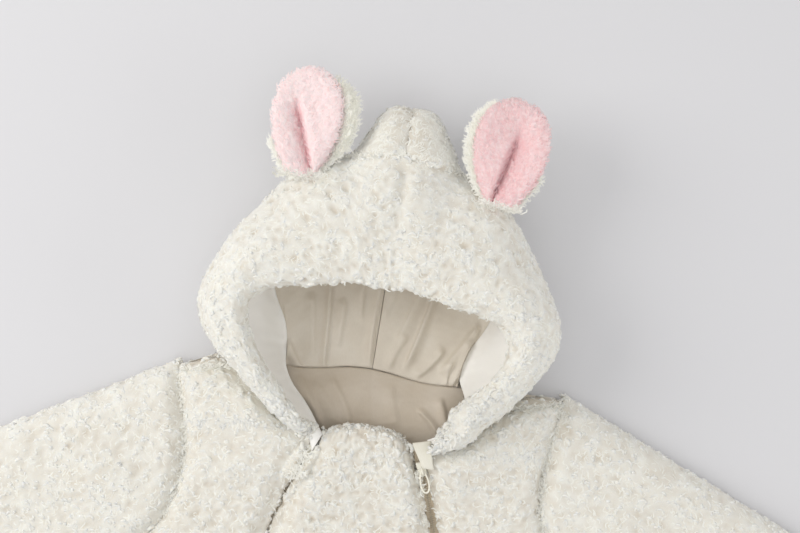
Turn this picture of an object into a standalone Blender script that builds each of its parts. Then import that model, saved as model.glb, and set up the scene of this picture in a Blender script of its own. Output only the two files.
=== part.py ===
"""A baby's hooded snowsuit of padded curly fleece, lying flat on its back.

Metres, +Z up, the head toward +Y, the suit's back on Z = 0, the origin under the middle of its box.
Every size below is in millimetres, and every place is measured from the middle of the nape seam,
the line where the hood's back meets the suit's back: x to the side, y toward the head, z up.
The two sides are worked out as mirror images. settle() then turns the hood and the middle of the
front a little, as a suit lies when it is put down by hand.
"""

import math

import bpy
import numpy as np

MM = 0.001
NAPE_Y = 209.8  # the nape seam, from the origin

# ---- driving sizes -------------------------------------------------------------------------
GAP = 0.3  # between two pieces that are sewn together
LAYER_GAP = 1.3  # between the front and the back that it lies on
SEAM = 0.5  # the same gap measured along x, where a seam runs aslant

HOOD_TURN = 3.7  # degrees clockwise
FRONT_SLIDE = 5.0  # the middle of the front lies this far over

EDGE_LOW = 5.0  # underside of the back panel at the outline
EDGE_MID = 9.0  # top of the back panel at the outline
BACK_THICK = 15.0
FRONT_THICK = 17.0
EDGE_THICK = 2.0  # front panel at the outline
SEAM_DIP = 0.5  # share of the front's thickness that a seam pulls down
SEAM_REACH = 7.0
NECK_LIFT = 11.0  # the front stands off the back around the neck
NECK_REACH = 40.0

CROTCH_Y = -425.0
HEM_Y = -640.0
ZIP_END_Y = -598.0
ZIP_HALF = 4.5  # half the slot between two fronts that a zip lies in
TAPE_THICK = 1.2
TAPE_RISE = 3.0  # tape's underside above the front's underside
TAPE_EDGES = (0.2, 4.1)  # each tape's inner and outer edge, from the zip's middle line

SLIDER_Y = -66.0
SLIDER_HALF = (3.9, 5.5)  # half its width at the top, half its length
SLIDER_TAPER = 0.72  # share of that width at its lower end
SLIDER_THICK = 4.6
BAIL_HIGH = 3.0  # the arch that holds the pull, above the slider
BAIL_HALF = 2.9
BAIL_WIRE = 0.8  # radius
PULL_LENGTH = 16.5
PULL_HALF = 3.6
PULL_WIRE = 0.65  # radius
PULL_AXIS = (-1.2, SLIDER_THICK + 1.05)  # y and z of the pull's axis, from the slider's middle

TAB_ROWS = (-50.5, -64.0)  # the tab's upper and lower end
TAB_HALF = 6.5
TAB_ASIDE = 3.5  # its middle line, outward from the zip's
TAB_THICK = 1.2

LINING_THICK = 1.5
CROWN_THICK = 9.0
CROWN_MIDDLE_GAP = 0.0666  # degrees that half a crown stops short of the middle line
LINING_MIDDLE_GAP = 0.1146

EAR_LENGTH = 83.0
EAR_HALF = 27.5
EAR_CENTER = (75.0, 176.0)
EAR_BASE_Z = 74.0
EAR_TIP_Z = 58.0
EAR_LEAN = 3.0  # degrees outward

# ---- outlines of the right side, from point to point ----------------------------------------
SHOULDER_NECK = (112.0, -2.0)
SHOULDER = (147.0, -9.0)
UNDERARM = (172.0, -152.0)
CUFF_TOP = (364.0, -116.0)
CUFF_BOTTOM = (330.0, -202.0)
ARMHOLE = np.array([SHOULDER, (139, -40), (135, -68), (136, -92), (147, -124), UNDERARM], float)
SIDE = np.array([UNDERARM, (169, -230), (173, -330), (170, -450), (158, HEM_Y)], float)
ZIP = np.array(
    [(35, -44), (46, -73), (57, -104), (72, -160), (88, -250), (95, -350), (99, -450), (103, HEM_Y)],
    float,
)
INSEAM = np.array([(0, CROTCH_Y), (11, -434), (21, -455), (33, -500), (48, HEM_Y)], float)
BIB_TOP = np.array([(0, -38.5), (16, -40.5), (26, -44), (31, -48)], float)

# ---- the hood, by direction round the nape ---------------------------------------------------
# angle: degrees up from +x; rim: radius of the face opening's fur edge; out: radius of the
# silhouette; top: height of the roll; wall: thickness; seam: turn round the section at which
# the band ends (90 top of the roll, 0 silhouette, -90 on the ground); bag_*: the lining's radii
# high, low and where it meets the floor; floor: height of the lining there; face: share of the
# lining's section that is facing.
HOOD_COLUMNS = (
    "angle", "rim", "out", "top", "wall", "seam", "bag_high", "bag_low", "bag_foot", "floor", "face",
)
HOOD_ROWS = np.array([
    (-49, 62, 71.0, 49, 3.2, 14, 61, 57, 54, 18.5, 0.97),
    (-32, 68, 83.0, 60, 5.0, -6, 66, 63, 58, 18.5, 0.97),
    (-15, 72, 93.0, 68, 7.0, -22, 72, 68, 63, 18.5, 0.97),
    (-4, 79, 108.0, 74, 9.0, -30, 78, 72, 65, 17.5, 0.97),
    (4, 87, 122.0, 78, 10.0, -31, 85, 76, 66, 12.2, 0.97),
    (14, 99, 137.5, 82, 11.0, -32, 96, 84, 69, 11.4, 0.97),
    (22, 105, 142.5, 84, 12.0, -32, 102, 92, 76, 11.4, 0.96),
    (30, 101, 143.5, 86, 12.0, -30, 106, 102, 85, 11.4, 0.80),
    (45, 83, 148.0, 88, 12.0, -25, 120, 126, 96, 11.4, 0.42),
    (60, 74, 158.0, 90, 12.0, -8, 132, 136, 101, 11.4, 0.30),
    (70, 71, 161.0, 90, 12.0, 8, 136, 138, 102, 11.4, 0.30),
    (76, 69, 163.0, 90, 12.0, 22, 138, 138, 102, 11.4, 0.30),
    (80, 68, 175.0, 90, 12.0, 42, 140, 138, 102, 11.4, 0.30),
    (84, 67, 193.0, 90, 12.0, 55, 142, 138, 102, 11.4, 0.30),
    (90, 66, 201.0, 90, 12.0, 59, 142, 138, 102, 11.4, 0.30),
], float)
HOOD = dict(zip(HOOD_COLUMNS, HOOD_ROWS.T))
RIM_TURN = 125.0  # the band's section starts here, at the face opening
SEAM_TURN = 0.8  # half the seam between band and crown, on the same turn
HOOD_END = -46.0  # direction of the hood's two front ends
ARCH = np.array([0.4, 6, 13, 20, 26, 32, 40, 49, 58, 65, 71, 76, 80, 85, 90])  # directions of points

# share of the ear's length from its base, share of its greatest width
EAR_OUTLINE = np.array([
    (0.0, 0.34), (0.1, 0.56), (0.25, 0.80), (0.45, 0.97), (0.62, 1.0), (0.78, 0.90), (0.9, 0.66),
    (0.97, 0.38), (1.0, 0.14),
])

COLOURS = {
    "fleece": (0.90, 0.88, 0.83, 0.95),
    "pink_plush": (0.88, 0.62, 0.64, 0.9),
    "lining": (0.62, 0.56, 0.48, 0.55),
    "facing": (0.85, 0.82, 0.76, 0.6),
    "tape": (0.49, 0.42, 0.32, 0.8),
    "enamel": (0.90, 0.88, 0.78, 0.3),
}


# ---- small tools ---------------------------------------------------------------------------
def smooth(start, end, value):
    """0 before start, 1 after end, and 3t^2 - 2t^3 between."""
    t = np.clip((np.asarray(value, float) - start) / (end - start), 0, 1)
    return t * t * (3 - 2 * t)


def through(value, stations, heights):
    """A smooth curve through (station, height) pairs: a cubic for each stretch, whose slope at a
    pair is that of the chord between its two neighbours."""
    slopes = np.gradient(heights, stations)
    value = np.clip(value, stations[0], stations[-1])
    i = np.clip(np.searchsorted(stations, value, side="right") - 1, 0, len(stations) - 2)
    width = stations[i + 1] - stations[i]
    t = (value - stations[i]) / width
    return (
        heights[i] * (1 + 2 * t) * (1 - t) ** 2
        + heights[i + 1] * t * t * (3 - 2 * t)
        + width * t * (1 - t) * (slopes[i] * (1 - t) - slopes[i + 1] * t)
    )


def across(line, y):
    """The x of an outline that runs downward, at each y."""
    return through(-np.asarray(y, float), -line[:, 1], line[:, 0])


def distance(x, y, line):
    """How far each point is from a polyline."""
    starts, steps = line[:-1], np.diff(line, axis=0)
    away = np.stack([x, y], -1)[..., None, :] - starts
    t = np.clip((away * steps).sum(-1) / (steps**2).sum(-1), 0, 1)
    return np.sqrt(((away - t[..., None] * steps) ** 2).sum(-1)).min(-1)


def rounding(away, radius):
    """A quarter circle's height: 0 at an edge, 1 from radius inward."""
    return np.sqrt(1 - (1 - np.clip(away / radius, 0, 1)) ** 2)


def settle(points):
    """Turns the hood and the middle of the front clockwise about the nape, less and less toward
    the shoulders and the waist, and slides the front of the neck over."""
    x, y, z = points[..., 0], points[..., 1], points[..., 2]
    beside = smooth(95, 150, np.abs(x)) * (1 - smooth(-10, 40, y))
    reach = smooth(-300, -60, y) * (1 - beside)
    turn = math.radians(HOOD_TURN) * reach
    slide = FRONT_SLIDE * reach * smooth(0, 40, -y)
    return np.stack(
        [x * np.cos(turn) + y * np.sin(turn) + slide, y * np.cos(turn) - x * np.sin(turn), z], -1
    )


# ---- heights of the flat-lying layers --------------------------------------------------------
def hood_at(angle):
    """The hood's sizes in each direction, from HOOD_ROWS, the left side as the right."""
    angle = np.asarray(angle, float)
    angle = np.where(angle > 90, 180 - angle, angle)
    return {name: through(angle, HOOD["angle"], column) for name, column in HOOD.items()}


def neckline(count=12):
    """Front neck seam, right side, from the shoulder to the zip: just outside the hood."""
    angle = np.linspace(-1, HOOD_END, count)
    radius = hood_at(angle)["out"] + 2 * GAP
    turn = np.radians(angle)
    return np.stack([radius * np.cos(turn), radius * np.sin(turn)], -1)


NECK = neckline()
EDGES = [
    np.array([SHOULDER_NECK, SHOULDER, CUFF_TOP]),
    np.concatenate([[CUFF_BOTTOM], SIDE]),
    INSEAM[::-1],
]
FRONT_NECK = np.concatenate([NECK, BIB_TOP[::-1]])


def to_outline(x, y):
    return np.min([distance(np.abs(x), y, edge) for edge in EDGES], axis=0)


def back_low(x, y):
    """Underside of everything: on the ground, rounded up at the outline."""
    return EDGE_LOW * (1 - rounding(to_outline(x, y), 9))


def back_top(x, y):
    nape = 5 * np.exp(-((y / 14) ** 2)) * (1 - smooth(90, 125, np.abs(x)))
    return EDGE_MID + (BACK_THICK - EDGE_MID) * rounding(to_outline(x, y), 30) - nape


def front_low(x, y):
    near_neck = np.exp(-((distance(np.abs(x), y, FRONT_NECK) / NECK_REACH) ** 2))
    lift = NECK_LIFT * near_neck * smooth(0, 60, to_outline(x, y))
    return back_top(x, y) + LAYER_GAP + lift


def front_top(x, y):
    """The front's thickness swells from the outline inward, and each seam pulls it down."""
    side = np.abs(x)
    swell = EDGE_THICK + (FRONT_THICK - EDGE_THICK) * rounding(to_outline(x, y), 24)
    to_armhole = distance(side, y, ARMHOLE)
    to_zip = np.clip(distance(side, y, ZIP) - ZIP_HALF, 0, None)
    to_neck = distance(side, y, NECK)
    pull = [np.exp(-((away / SEAM_REACH) ** 2)) for away in (to_armhole, to_zip, to_neck)]
    return front_low(x, y) + swell * (1 - SEAM_DIP * np.max(pull, axis=0))


# ---- solids ----------------------------------------------------------------------------------
def material(kind):
    if kind in bpy.data.materials:
        return bpy.data.materials[kind]
    red, green, blue, roughness = COLOURS[kind]
    made = bpy.data.materials.new(kind)
    made.use_nodes = True
    shader = made.node_tree.nodes["Principled BSDF"]
    shader.inputs["Base Color"].default_value = (red, green, blue, 1)
    shader.inputs["Roughness"].default_value = roughness
    return made


def add_object(name, points, faces, kind):
    """Adds a mesh from points in millimetres about the nape."""
    mesh = bpy.data.meshes.new(name)
    placed = (settle(np.asarray(points, float)) + (0, NAPE_Y, 0)) * MM
    mesh.from_pydata(placed.tolist(), [], [tuple(map(int, face)) for face in faces])
    mesh.materials.append(material(kind))
    mesh.shade_smooth()
    mesh.set_sharp_from_angle(angle=math.radians(50))
    made = bpy.data.objects.new(name, mesh)
    bpy.context.collection.objects.link(made)
    return made


def cells(index, mirrored=False):
    """The faces of a grid of point numbers, as triangles, so that layers that lie on each other are
    split the same way. A cell without width gives none."""
    a, b, c, d = index[:-1, :-1], index[1:, :-1], index[1:, 1:], index[:-1, 1:]
    halves = [(a, b, d), (b, c, d)] if mirrored else [(a, b, c), (a, c, d)]
    faces = np.concatenate([np.stack(half, -1).reshape(-1, 3) for half in halves]).tolist()
    return [face for face in faces if len(set(face)) == 3]


def turned(faces, over):
    """The same faces, seen from the other side if over."""
    return [face[::-1] for face in faces] if over else faces


def open_edges(faces):
    """The edges that only one face has, in that face's direction."""
    edges = {(a, b) for face in faces for a, b in zip(face, face[1:] + face[:1])}
    return [(a, b) for a, b in edges if (b, a) not in edges]


def wall(name, faces, outer, inner, kind, bulge=None):
    """One closed solid between two copies of the same faces, outer's seen counter-clockwise from
    outside. Its edge goes straight across, or bulges by bulge at each point, to round a free edge."""
    outer, inner = outer.reshape(-1, 3), inner.reshape(-1, 3)
    count = len(outer)
    rim = sorted(open_edges(faces))
    solid = faces + [[point + count for point in reversed(face)] for face in faces]
    points = np.concatenate([outer, inner])
    if bulge is None:
        solid += [[b, a, a + count, b + count] for a, b in rim]
        return add_object(name, *without_strays(points, solid), kind)
    middle = (outer + inner) / 2
    through_wall = outer - inner
    outward = np.zeros_like(outer)
    free = bulge.reshape(-1) > 0
    for a, b in rim:
        if free[a] and free[b]:
            side = np.cross(outer[b] - outer[a], through_wall[a] + through_wall[b])
            outward[[a, b]] += side / np.linalg.norm(side)
    length = np.linalg.norm(outward, axis=1, keepdims=True)
    middle += outward / np.maximum(length, 1e-9) * bulge.reshape(-1, 1)
    points = np.concatenate([points, middle])
    solid += [[b, a, a + 2 * count, b + 2 * count] for a, b in rim]
    solid += [[b + 2 * count, a + 2 * count, a + count, b + count] for a, b in rim]
    return add_object(name, *without_strays(points, solid), kind)


def without_strays(points, faces):
    """Drops the points that no face uses."""
    used = sorted({point for face in faces for point in face})
    number = {old: new for new, old in enumerate(used)}
    return points[used], [[number[point] for point in face] for face in faces]


def grid_index(rows, columns):
    return np.arange(rows * columns).reshape(rows, columns)


def lifted(x, y, height):
    return np.stack([x, y, height(x, y)], -1)


# ---- the body --------------------------------------------------------------------------------
NECK_ROWS = np.array([-4, -16, -37, -51])
ARM_ROWS = np.array([SHOULDER[1], -28, -46, -62, -84, -106, -130, UNDERARM[1]])
LOW_ROWS = np.concatenate([
    np.linspace(-190, -400, 6), (CROTCH_Y, -436, -454, -495, -545, ZIP_END_Y, ZIP_END_Y - 6, HEM_Y),
])
OUTER_INSETS = np.array([0, 4, 11, 26.0])  # columns of points, from the outer edge inward


def body_edge(y):
    """x of the front and back panels' outer edge: shoulder, then armhole, then side seam."""
    y = np.asarray(y, float)
    corner_x = [SHOULDER_NECK[0], *(across(ARMHOLE, ARM_ROWS) - SEAM / 2)]
    upper = np.interp(-y, [-SHOULDER_NECK[1], *-ARM_ROWS], corner_x)
    return np.where(y >= UNDERARM[1], upper, across(SIDE, y))


def columns(inner, edge, inner_insets):
    """x of each column of points: near both edges at fixed insets, which shrink with the width."""
    width = (edge - inner)[:, None]
    fit = np.minimum(1, width / 60)
    near = inner[:, None] + np.array(inner_insets) * fit
    far = edge[:, None] - OUTER_INSETS[::-1] * fit
    return np.concatenate([near, (near[:, -1:] + far[:, :1]) / 2, far], axis=1)


def zip_half(y):
    """Half the slot between the fronts: a seam's gap below the zip's end."""
    return np.where(np.asarray(y) > ZIP_END_Y - 3, ZIP_HALF, SEAM / 2)


def hem_bulge(y, amount=1.6):
    return np.where(np.isclose(y, HEM_Y), amount, 0.0)


def add_front_side(name, side):
    """Side front: neck seam and zip on one side, shoulder, armhole and side seam on the other."""
    rows = np.sort(np.concatenate([NECK_ROWS, ARM_ROWS, LOW_ROWS]))[::-1]
    neck_x = np.interp(-rows, -NECK[:, 1], NECK[:, 0])
    zip_x = across(ZIP, rows) + zip_half(rows)
    inner = np.where(rows > NECK[-1, 1], neck_x, zip_x)
    x = side * columns(inner, body_edge(rows), (0, 4, 12))
    y = np.broadcast_to(rows[:, None], x.shape)
    faces = turned(cells(grid_index(*x.shape)), side < 0)
    wall(name, faces, lifted(x, y, front_top), lifted(x, y, front_low), "fleece", hem_bulge(y))


def both_legs(edge, rows, inner_insets):
    """x, y and faces of a panel that spans both legs: its middle columns meet above the crotch and
    part below it."""
    right = columns(across(INSEAM, rows) * (rows < CROTCH_Y), edge, inner_insets)
    x = np.concatenate([-right[:, ::-1], right], axis=1)
    middle = right.shape[1]
    index = grid_index(*x.shape)
    joined = rows >= CROTCH_Y
    index[joined, middle] = index[joined, middle - 1]
    y = np.broadcast_to(rows[:, None], x.shape).copy()
    return x, y, cells(index[:, :middle], mirrored=True) + cells(index[:, middle:])


def add_front_center():
    rows = np.sort(np.concatenate([(-39, -52), ARM_ROWS[3:], LOW_ROWS]))[::-1]
    x, y, faces = both_legs(across(ZIP, rows) - zip_half(rows), rows, (0, 5, 16))
    bulge = hem_bulge(y)
    neck_edge = np.interp(np.abs(x), BIB_TOP[:, 0], BIB_TOP[:, 1]) - rows[0]
    y += neck_edge * (1 - smooth(45, 110, -y))
    bulge[0] = 4
    upper = lifted(x, y, front_top)
    upper[0, :, 2] -= 3
    wall("front_center", faces, upper, lifted(x, y, front_low), "fleece", bulge)


def add_back():
    rows = np.sort(np.concatenate([[-GAP], NECK_ROWS, ARM_ROWS, LOW_ROWS]))[::-1]
    edge = body_edge(rows)
    edge[0] -= 4
    x, y, faces = both_legs(edge, rows, (0, 5, 16))
    wall("back", faces, lifted(x, y, back_top), lifted(x, y, back_low), "fleece", hem_bulge(y))


def add_sleeve(name, side):
    """A tube pressed flat: one wall from the armhole round to the cuff, hollow inside."""
    along = np.linspace(0, 1, 9)[:, None, None]
    around = (ARM_ROWS - SHOULDER[1]) / (UNDERARM[1] - SHOULDER[1])
    start = np.stack([across(ARMHOLE, ARM_ROWS) + SEAM / 2, ARM_ROWS], -1)
    end = np.array(CUFF_TOP) + np.outer(around, np.subtract(CUFF_BOTTOM, CUFF_TOP))
    end[:, 0] += 3 * np.sin(np.pi * around)
    fold = 0.07
    inset = fold + (1 - 2 * fold) * around

    def plan(share):
        """Straight lines from the armhole to the cuff, at each share of the way round."""
        ends = [
            np.stack([np.interp(share, around, line[:, axis]) for axis in (0, 1)], -1)
            for line in (start, end)
        ]
        return ends[0] * (1 - along) + ends[1] * along

    def ring(share, high, low, shift):
        x, y = plan(share)[..., 0] * side, plan(share)[..., 1]
        upper = np.stack([x, y, high(x, y) + shift], -1)
        lower = np.stack([x, y, low(x, y) - shift], -1)
        return np.concatenate([upper, lower[:, ::-1]], axis=1)

    outer = ring(around, front_top, back_low, 0)
    inner = ring(inset, front_low, back_top, 0)
    index = grid_index(*outer.shape[:2])
    index = np.concatenate([index, index[:, :1]], axis=1)
    wall(name, turned(cells(index), side > 0), outer, inner, "fleece")


def add_back_neck_lining():
    x, y = np.meshgrid(np.linspace(-72, 72, 9), (-0.4, -8, -18, -30, -45, -60))
    low = lifted(x, y, back_top) + (0, 0, 2 * GAP)
    wall("back_neck_lining", cells(grid_index(*x.shape)), low + (0, 0, LINING_THICK), low, "lining")


# ---- the hood --------------------------------------------------------------------------------
def hood_shell(angle, turn, depth):
    """A point of the hood's section: an ellipse that stands on the ground, from the rim at
    RIM_TURN over the top (90) and the silhouette (0) to the ground (-90), depth inside the fur."""
    size = hood_at(angle)
    reach = (size["out"] - size["rim"]) / (1 - math.cos(math.radians(RIM_TURN)))
    middle = size["out"] - reach
    half = size["top"] / 2
    radius = middle + (reach - depth) * np.cos(np.radians(turn))
    height = half + (half - depth) * np.sin(np.radians(turn))
    return round_nape(angle, radius, height)


def round_nape(angle, radius, height):
    way = np.radians(np.broadcast_to(angle, radius.shape))
    return np.stack([radius * np.cos(way), radius * np.sin(way), height], -1)


def all_round(front_end):
    """Directions from the right front end of the hood over the top to the left one."""
    right = np.concatenate([np.linspace(front_end, -4, 6), ARCH])
    return np.concatenate([right, 180 - right[-2::-1]])[:, None]


def add_band():
    """The strip from neck to neck over the brow, with the fur edge of the face opening."""
    angle = all_round(HOOD_END)
    share = np.array([0, 0.12, 0.28, 0.46, 0.64, 0.82, 1.0])
    size = hood_at(angle)
    turn = RIM_TURN + (size["seam"] + SEAM_TURN - RIM_TURN) * share
    outer = hood_shell(angle, turn, 0 * turn)
    inner = hood_shell(angle, turn, size["wall"] + 0 * turn)
    bulge = np.zeros(turn.shape)
    bulge[:, 0] = 0.32 * size["wall"][:, 0]
    faces = turned(cells(grid_index(*turn.shape)), True)
    wall("hood_band", faces, outer, inner, "fleece", bulge)


def beside_middle(gap):
    """ARCH's directions, with the last one gap degrees short of the middle line."""
    return np.append(ARCH[:-1], 90 - gap)[:, None]


def to_nape(angle, foot, count):
    """The floor: count rows from the foot of a section straight to the nape line, where the feet
    spread out by the cosine of their directions."""
    nape = foot.copy()
    nape[..., 0] = foot[0, 0, 0] * np.cos(np.radians(angle)) / math.cos(math.radians(angle[0, 0]))
    nape[..., 0] += GAP / 2 * (1 - nape[..., 0] / foot[0, 0, 0])
    nape[..., 1] = GAP / 2
    share = np.arange(1, count + 1)[:, None] / count
    return foot * (1 - share) + nape * share


def add_crown(name, side):
    """Half the hood's back, from the band over the ground to the nape, joined on the middle line."""
    angle = beside_middle(CROWN_MIDDLE_GAP)
    size = hood_at(angle)
    share = np.linspace(0, 1, 7)
    turn = size["seam"] - SEAM_TURN + (-90 - size["seam"] + SEAM_TURN) * share
    layers = []
    for depth in (0.0, CROWN_THICK):
        shell = hood_shell(angle, turn, depth + 0 * turn)
        layers.append(np.concatenate([shell, to_nape(angle, shell[:, -1:], 3)], axis=1))
    outer, inner = (layer * (side, 1, 1) for layer in layers)
    wall(name, turned(cells(grid_index(*outer.shape[:2])), side > 0), outer, inner, "fleece")


def bag_section(angle, share, away):
    """The hood's lining hangs inside it as a bag: a cubic curve from under the rim, out and down
    to the floor. away moves a point off the curve, out of the hollow."""
    size = hood_at(angle)
    reach = (size["out"] - size["rim"]) / (1 - math.cos(math.radians(RIM_TURN)))
    half = size["top"] / 2
    turn = math.radians(RIM_TURN - 4)
    start_r = size["out"] - reach + (reach - size["wall"]) * math.cos(turn) - 1
    start_z = half + (half - size["wall"] - 4) * math.sin(turn)
    handles = [
        (start_r, start_z), (size["bag_high"], start_z - 6), (size["bag_low"], size["floor"]),
        (size["bag_foot"], size["floor"]),
    ]
    weights = [(1 - share) ** 3, 3 * share * (1 - share) ** 2, 3 * share**2 * (1 - share), share**3]
    radius = sum(w * r for w, (r, _) in zip(weights, handles))
    height = sum(w * z for w, (_, z) in zip(weights, handles))
    slope = [(1 - share) ** 2, 2 * share * (1 - share), share**2]
    along_r = sum(w * (b[0] - a[0]) for w, a, b in zip(slope, handles, handles[1:]))
    along_z = sum(w * (b[1] - a[1]) for w, a, b in zip(slope, handles, handles[1:]))
    length = np.hypot(along_r, along_z)
    return round_nape(angle, radius - away * along_z / length, height + away * along_r / length)


def add_facing():
    """Smooth facing of the band's inside, from under the rim to the lining."""
    angle = all_round(HOOD_END + 1)
    share = np.linspace(0, 1, 4) * hood_at(angle)["face"]
    seen = bag_section(angle, share, 0)
    hidden = bag_section(angle, share, LINING_THICK)
    wall("hood_facing", cells(grid_index(*share.shape)), seen, hidden, "facing")


def add_lining(name, side):
    """Half the lining of the hood's back, from the facing down to the floor and the nape."""
    angle = beside_middle(LINING_MIDDLE_GAP)
    face = hood_at(angle)["face"] + 0.008
    share = face + (1 - face) * np.linspace(0, 1, 5)
    layers = []
    for away in (0.0, LINING_THICK):
        bag = bag_section(angle, share, away)
        layers.append(np.concatenate([bag, to_nape(angle, bag[:, -1:], 4)], axis=1))
    seen, hidden = (layer * (side, 1, 1) for layer in layers)
    wall(name, turned(cells(grid_index(*seen.shape[:2])), side < 0), seen, hidden, "lining")


# ---- ears ------------------------------------------------------------------------------------
def add_ear(name, side):
    """A plush front and a fleece back, sewn at the outline and pinched by a fold that runs from
    the outer side near the tip to the inner side of the base."""
    along = np.array([0, 0.1, 0.24, 0.4, 0.58, 0.76, 0.9, 1.0])[:, None]
    aside = np.array([-1, -0.8, -0.45, -0.1, 0.2, 0.5, 0.82, 1.0])
    half = EAR_HALF * through(along, EAR_OUTLINE[:, 0], EAR_OUTLINE[:, 1])
    x, y = aside * half, EAR_LENGTH * along + 0 * aside
    swell = rounding((1 - np.abs(aside)) * half, 14) * rounding((1.02 - along) * EAR_LENGTH, 14)
    fold_x = -0.35 * EAR_HALF + 0.75 * EAR_HALF * along
    crease = 0.55 * np.exp(-(((x - fold_x) / 4.5) ** 2)) * (1 - smooth(0.62, 0.95, along))

    def middle(x):
        """Height of the seam between front and back: cupped across, sinking toward the tip."""
        return EAR_BASE_Z + (EAR_TIP_Z - EAR_BASE_Z) * along + 5 * (x / EAR_HALF) ** 2

    front_z = middle(x) + GAP + 1.2 + 7 * swell * (1 - crease)
    wider = x - 5.0 * smooth(-0.2, -1.0, aside) * smooth(0.0, 0.3, along)
    back_z = middle(wider) - GAP - 1.2 - 7 * swell
    lean = math.radians(-EAR_LEAN)
    faces = turned(cells(grid_index(*x.shape)), side > 0)

    def place(x, y, z):
        y = y - EAR_LENGTH / 2
        spot_x = EAR_CENTER[0] + x * math.cos(lean) - y * math.sin(lean)
        spot_y = EAR_CENTER[1] + x * math.sin(lean) + y * math.cos(lean)
        return np.stack([side * spot_x, spot_y, z + 0 * spot_x], -1)

    for part, spot, upper, lower, kind in (
        ("front", x, front_z, middle(x) + GAP, "pink_plush"),
        ("back", wider, middle(wider) - GAP, back_z, "fleece"),
    ):
        wall(f"{name}_{part}", faces, place(spot, y, upper), place(spot, y, lower), kind)


# ---- zips ------------------------------------------------------------------------------------
def tape_low(x, y):
    return front_low(x, y) + TAPE_RISE


def add_tapes(name, side):
    """Two woven tapes that meet along the zip's middle."""
    rows = np.concatenate([(-52, -62, -84, -106, -130, -152), LOW_ROWS[:-2]])
    center = across(ZIP, rows)[:, None]
    near, far = TAPE_EDGES
    for part, edges in (("inner", (-far, -near)), ("outer", (near, far))):
        x = side * (center + np.array(edges))
        y = np.broadcast_to(rows[:, None], x.shape)
        low = lifted(x, y, tape_low)
        faces = turned(cells(grid_index(*x.shape)), side < 0)
        wall(f"{name}_tape_{part}", faces, low + (0, 0, TAPE_THICK), low, "tape")


def slider_place(side):
    """Middle of the slider's underside, after settling, and the direction of the zip there."""
    y = SLIDER_Y - np.array([0, SLIDER_HALF[1], -SLIDER_HALF[1]])
    x = side * across(ZIP, y)
    low = tape_low(x, y).max() + TAPE_THICK + 2 * GAP
    top, below = settle(np.stack([x, y, np.full(3, low)], -1))[:2]
    way = math.atan2(below[0] - top[0], top[1] - below[1])
    return top, way


def placed_like(made, side):
    """Puts a solid that was made about the slider's middle, in metres, on its zip."""
    spot, way = slider_place(side)
    made.rotation_euler = (0, 0, way)
    made.location = (spot[0] * MM, (spot[1] + NAPE_Y) * MM, spot[2] * MM)
    return made


def add_slider(name, side):
    """Slider body, narrower toward the feet, with the bail that holds the pull."""
    half_x, half_y = SLIDER_HALF
    low_x = SLIDER_TAPER * half_x
    outline = [(half_x, half_y), (-half_x, half_y), (-low_x, -half_y), (low_x, -half_y)]
    count = len(outline)
    points = [(x, y, z) for z in (0.0, SLIDER_THICK) for x, y in outline]
    faces = [[3, 2, 1, 0], [4, 5, 6, 7]]
    faces += [[i, (i + 1) % count, (i + 1) % count + count, i + count] for i in range(count)]
    mesh = bpy.data.meshes.new(name)
    mesh.from_pydata((np.array(points) * MM).tolist(), [], faces)
    mesh.materials.append(material("enamel"))
    slider = bpy.data.objects.new(name, mesh)
    bpy.context.collection.objects.link(slider)
    bevel = slider.modifiers.new("rounded", "BEVEL")
    bevel.width = 0.8 * MM
    bevel.segments = 2
    bail = bpy.data.curves.new(f"{name}_bail", "CURVE")
    bail.dimensions = "3D"
    bail.bevel_depth = BAIL_WIRE * MM
    bail.bevel_resolution = 1
    bail.use_fill_caps = True
    arch = np.linspace(0, math.pi, 9)
    line = bail.splines.new("POLY")
    line.points.add(len(arch) - 1)
    for point, turn in zip(line.points, arch):
        rise = SLIDER_THICK + BAIL_HIGH * math.sin(turn) - 0.4 * (1 - math.sin(turn))
        point.co = (0, (PULL_AXIS[0] + BAIL_HALF * math.cos(turn)) * MM, rise * MM, 1)
    arch_object = bpy.data.objects.new(f"{name}_bail", bail)
    bpy.context.collection.objects.link(arch_object)
    graph = bpy.context.evaluated_depsgraph_get()
    solid_arch = bpy.data.meshes.new_from_object(arch_object.evaluated_get(graph))
    bpy.data.objects.remove(arch_object)
    cutter = bpy.data.objects.new(f"{name}_bail_solid", solid_arch)
    cutter.hide_render = True
    cutter.display_type = "WIRE"
    bpy.context.collection.objects.link(cutter)
    cutter.parent = slider
    join = slider.modifiers.new("bail", "BOOLEAN")
    join.operation = "UNION"
    join.object = cutter
    placed_like(slider, side)


def add_pull(name, side):
    """A closed wire loop, narrow where it passes through the bail and round at its end."""
    lap = np.linspace(0, 2 * math.pi, 22, endpoint=False)
    down = (1 - np.cos(lap)) / 2
    aside = PULL_HALF * np.sin(lap) * (0.66 + 0.34 * down)
    loop = bpy.data.curves.new(name, "CURVE")
    loop.dimensions = "3D"
    loop.bevel_depth = PULL_WIRE * MM
    loop.bevel_resolution = 1
    line = loop.splines.new("POLY")
    line.points.add(len(lap) - 1)
    for point, x, t in zip(line.points, aside, down):
        point.co = (x * MM, -PULL_LENGTH * t * MM, 0.5 * t * MM, 1)
    line.use_cyclic_u = True
    loop.materials.append(material("enamel"))
    pull = bpy.data.objects.new(name, loop)
    bpy.context.collection.objects.link(pull)
    placed_like(pull, side)
    spot, way = slider_place(side)
    y, z = PULL_AXIS
    pull.location = (
        (spot[0] - y * math.sin(way)) * MM,
        (spot[1] + y * math.cos(way) + NAPE_Y) * MM,
        (spot[2] + z) * MM,
    )


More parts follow.
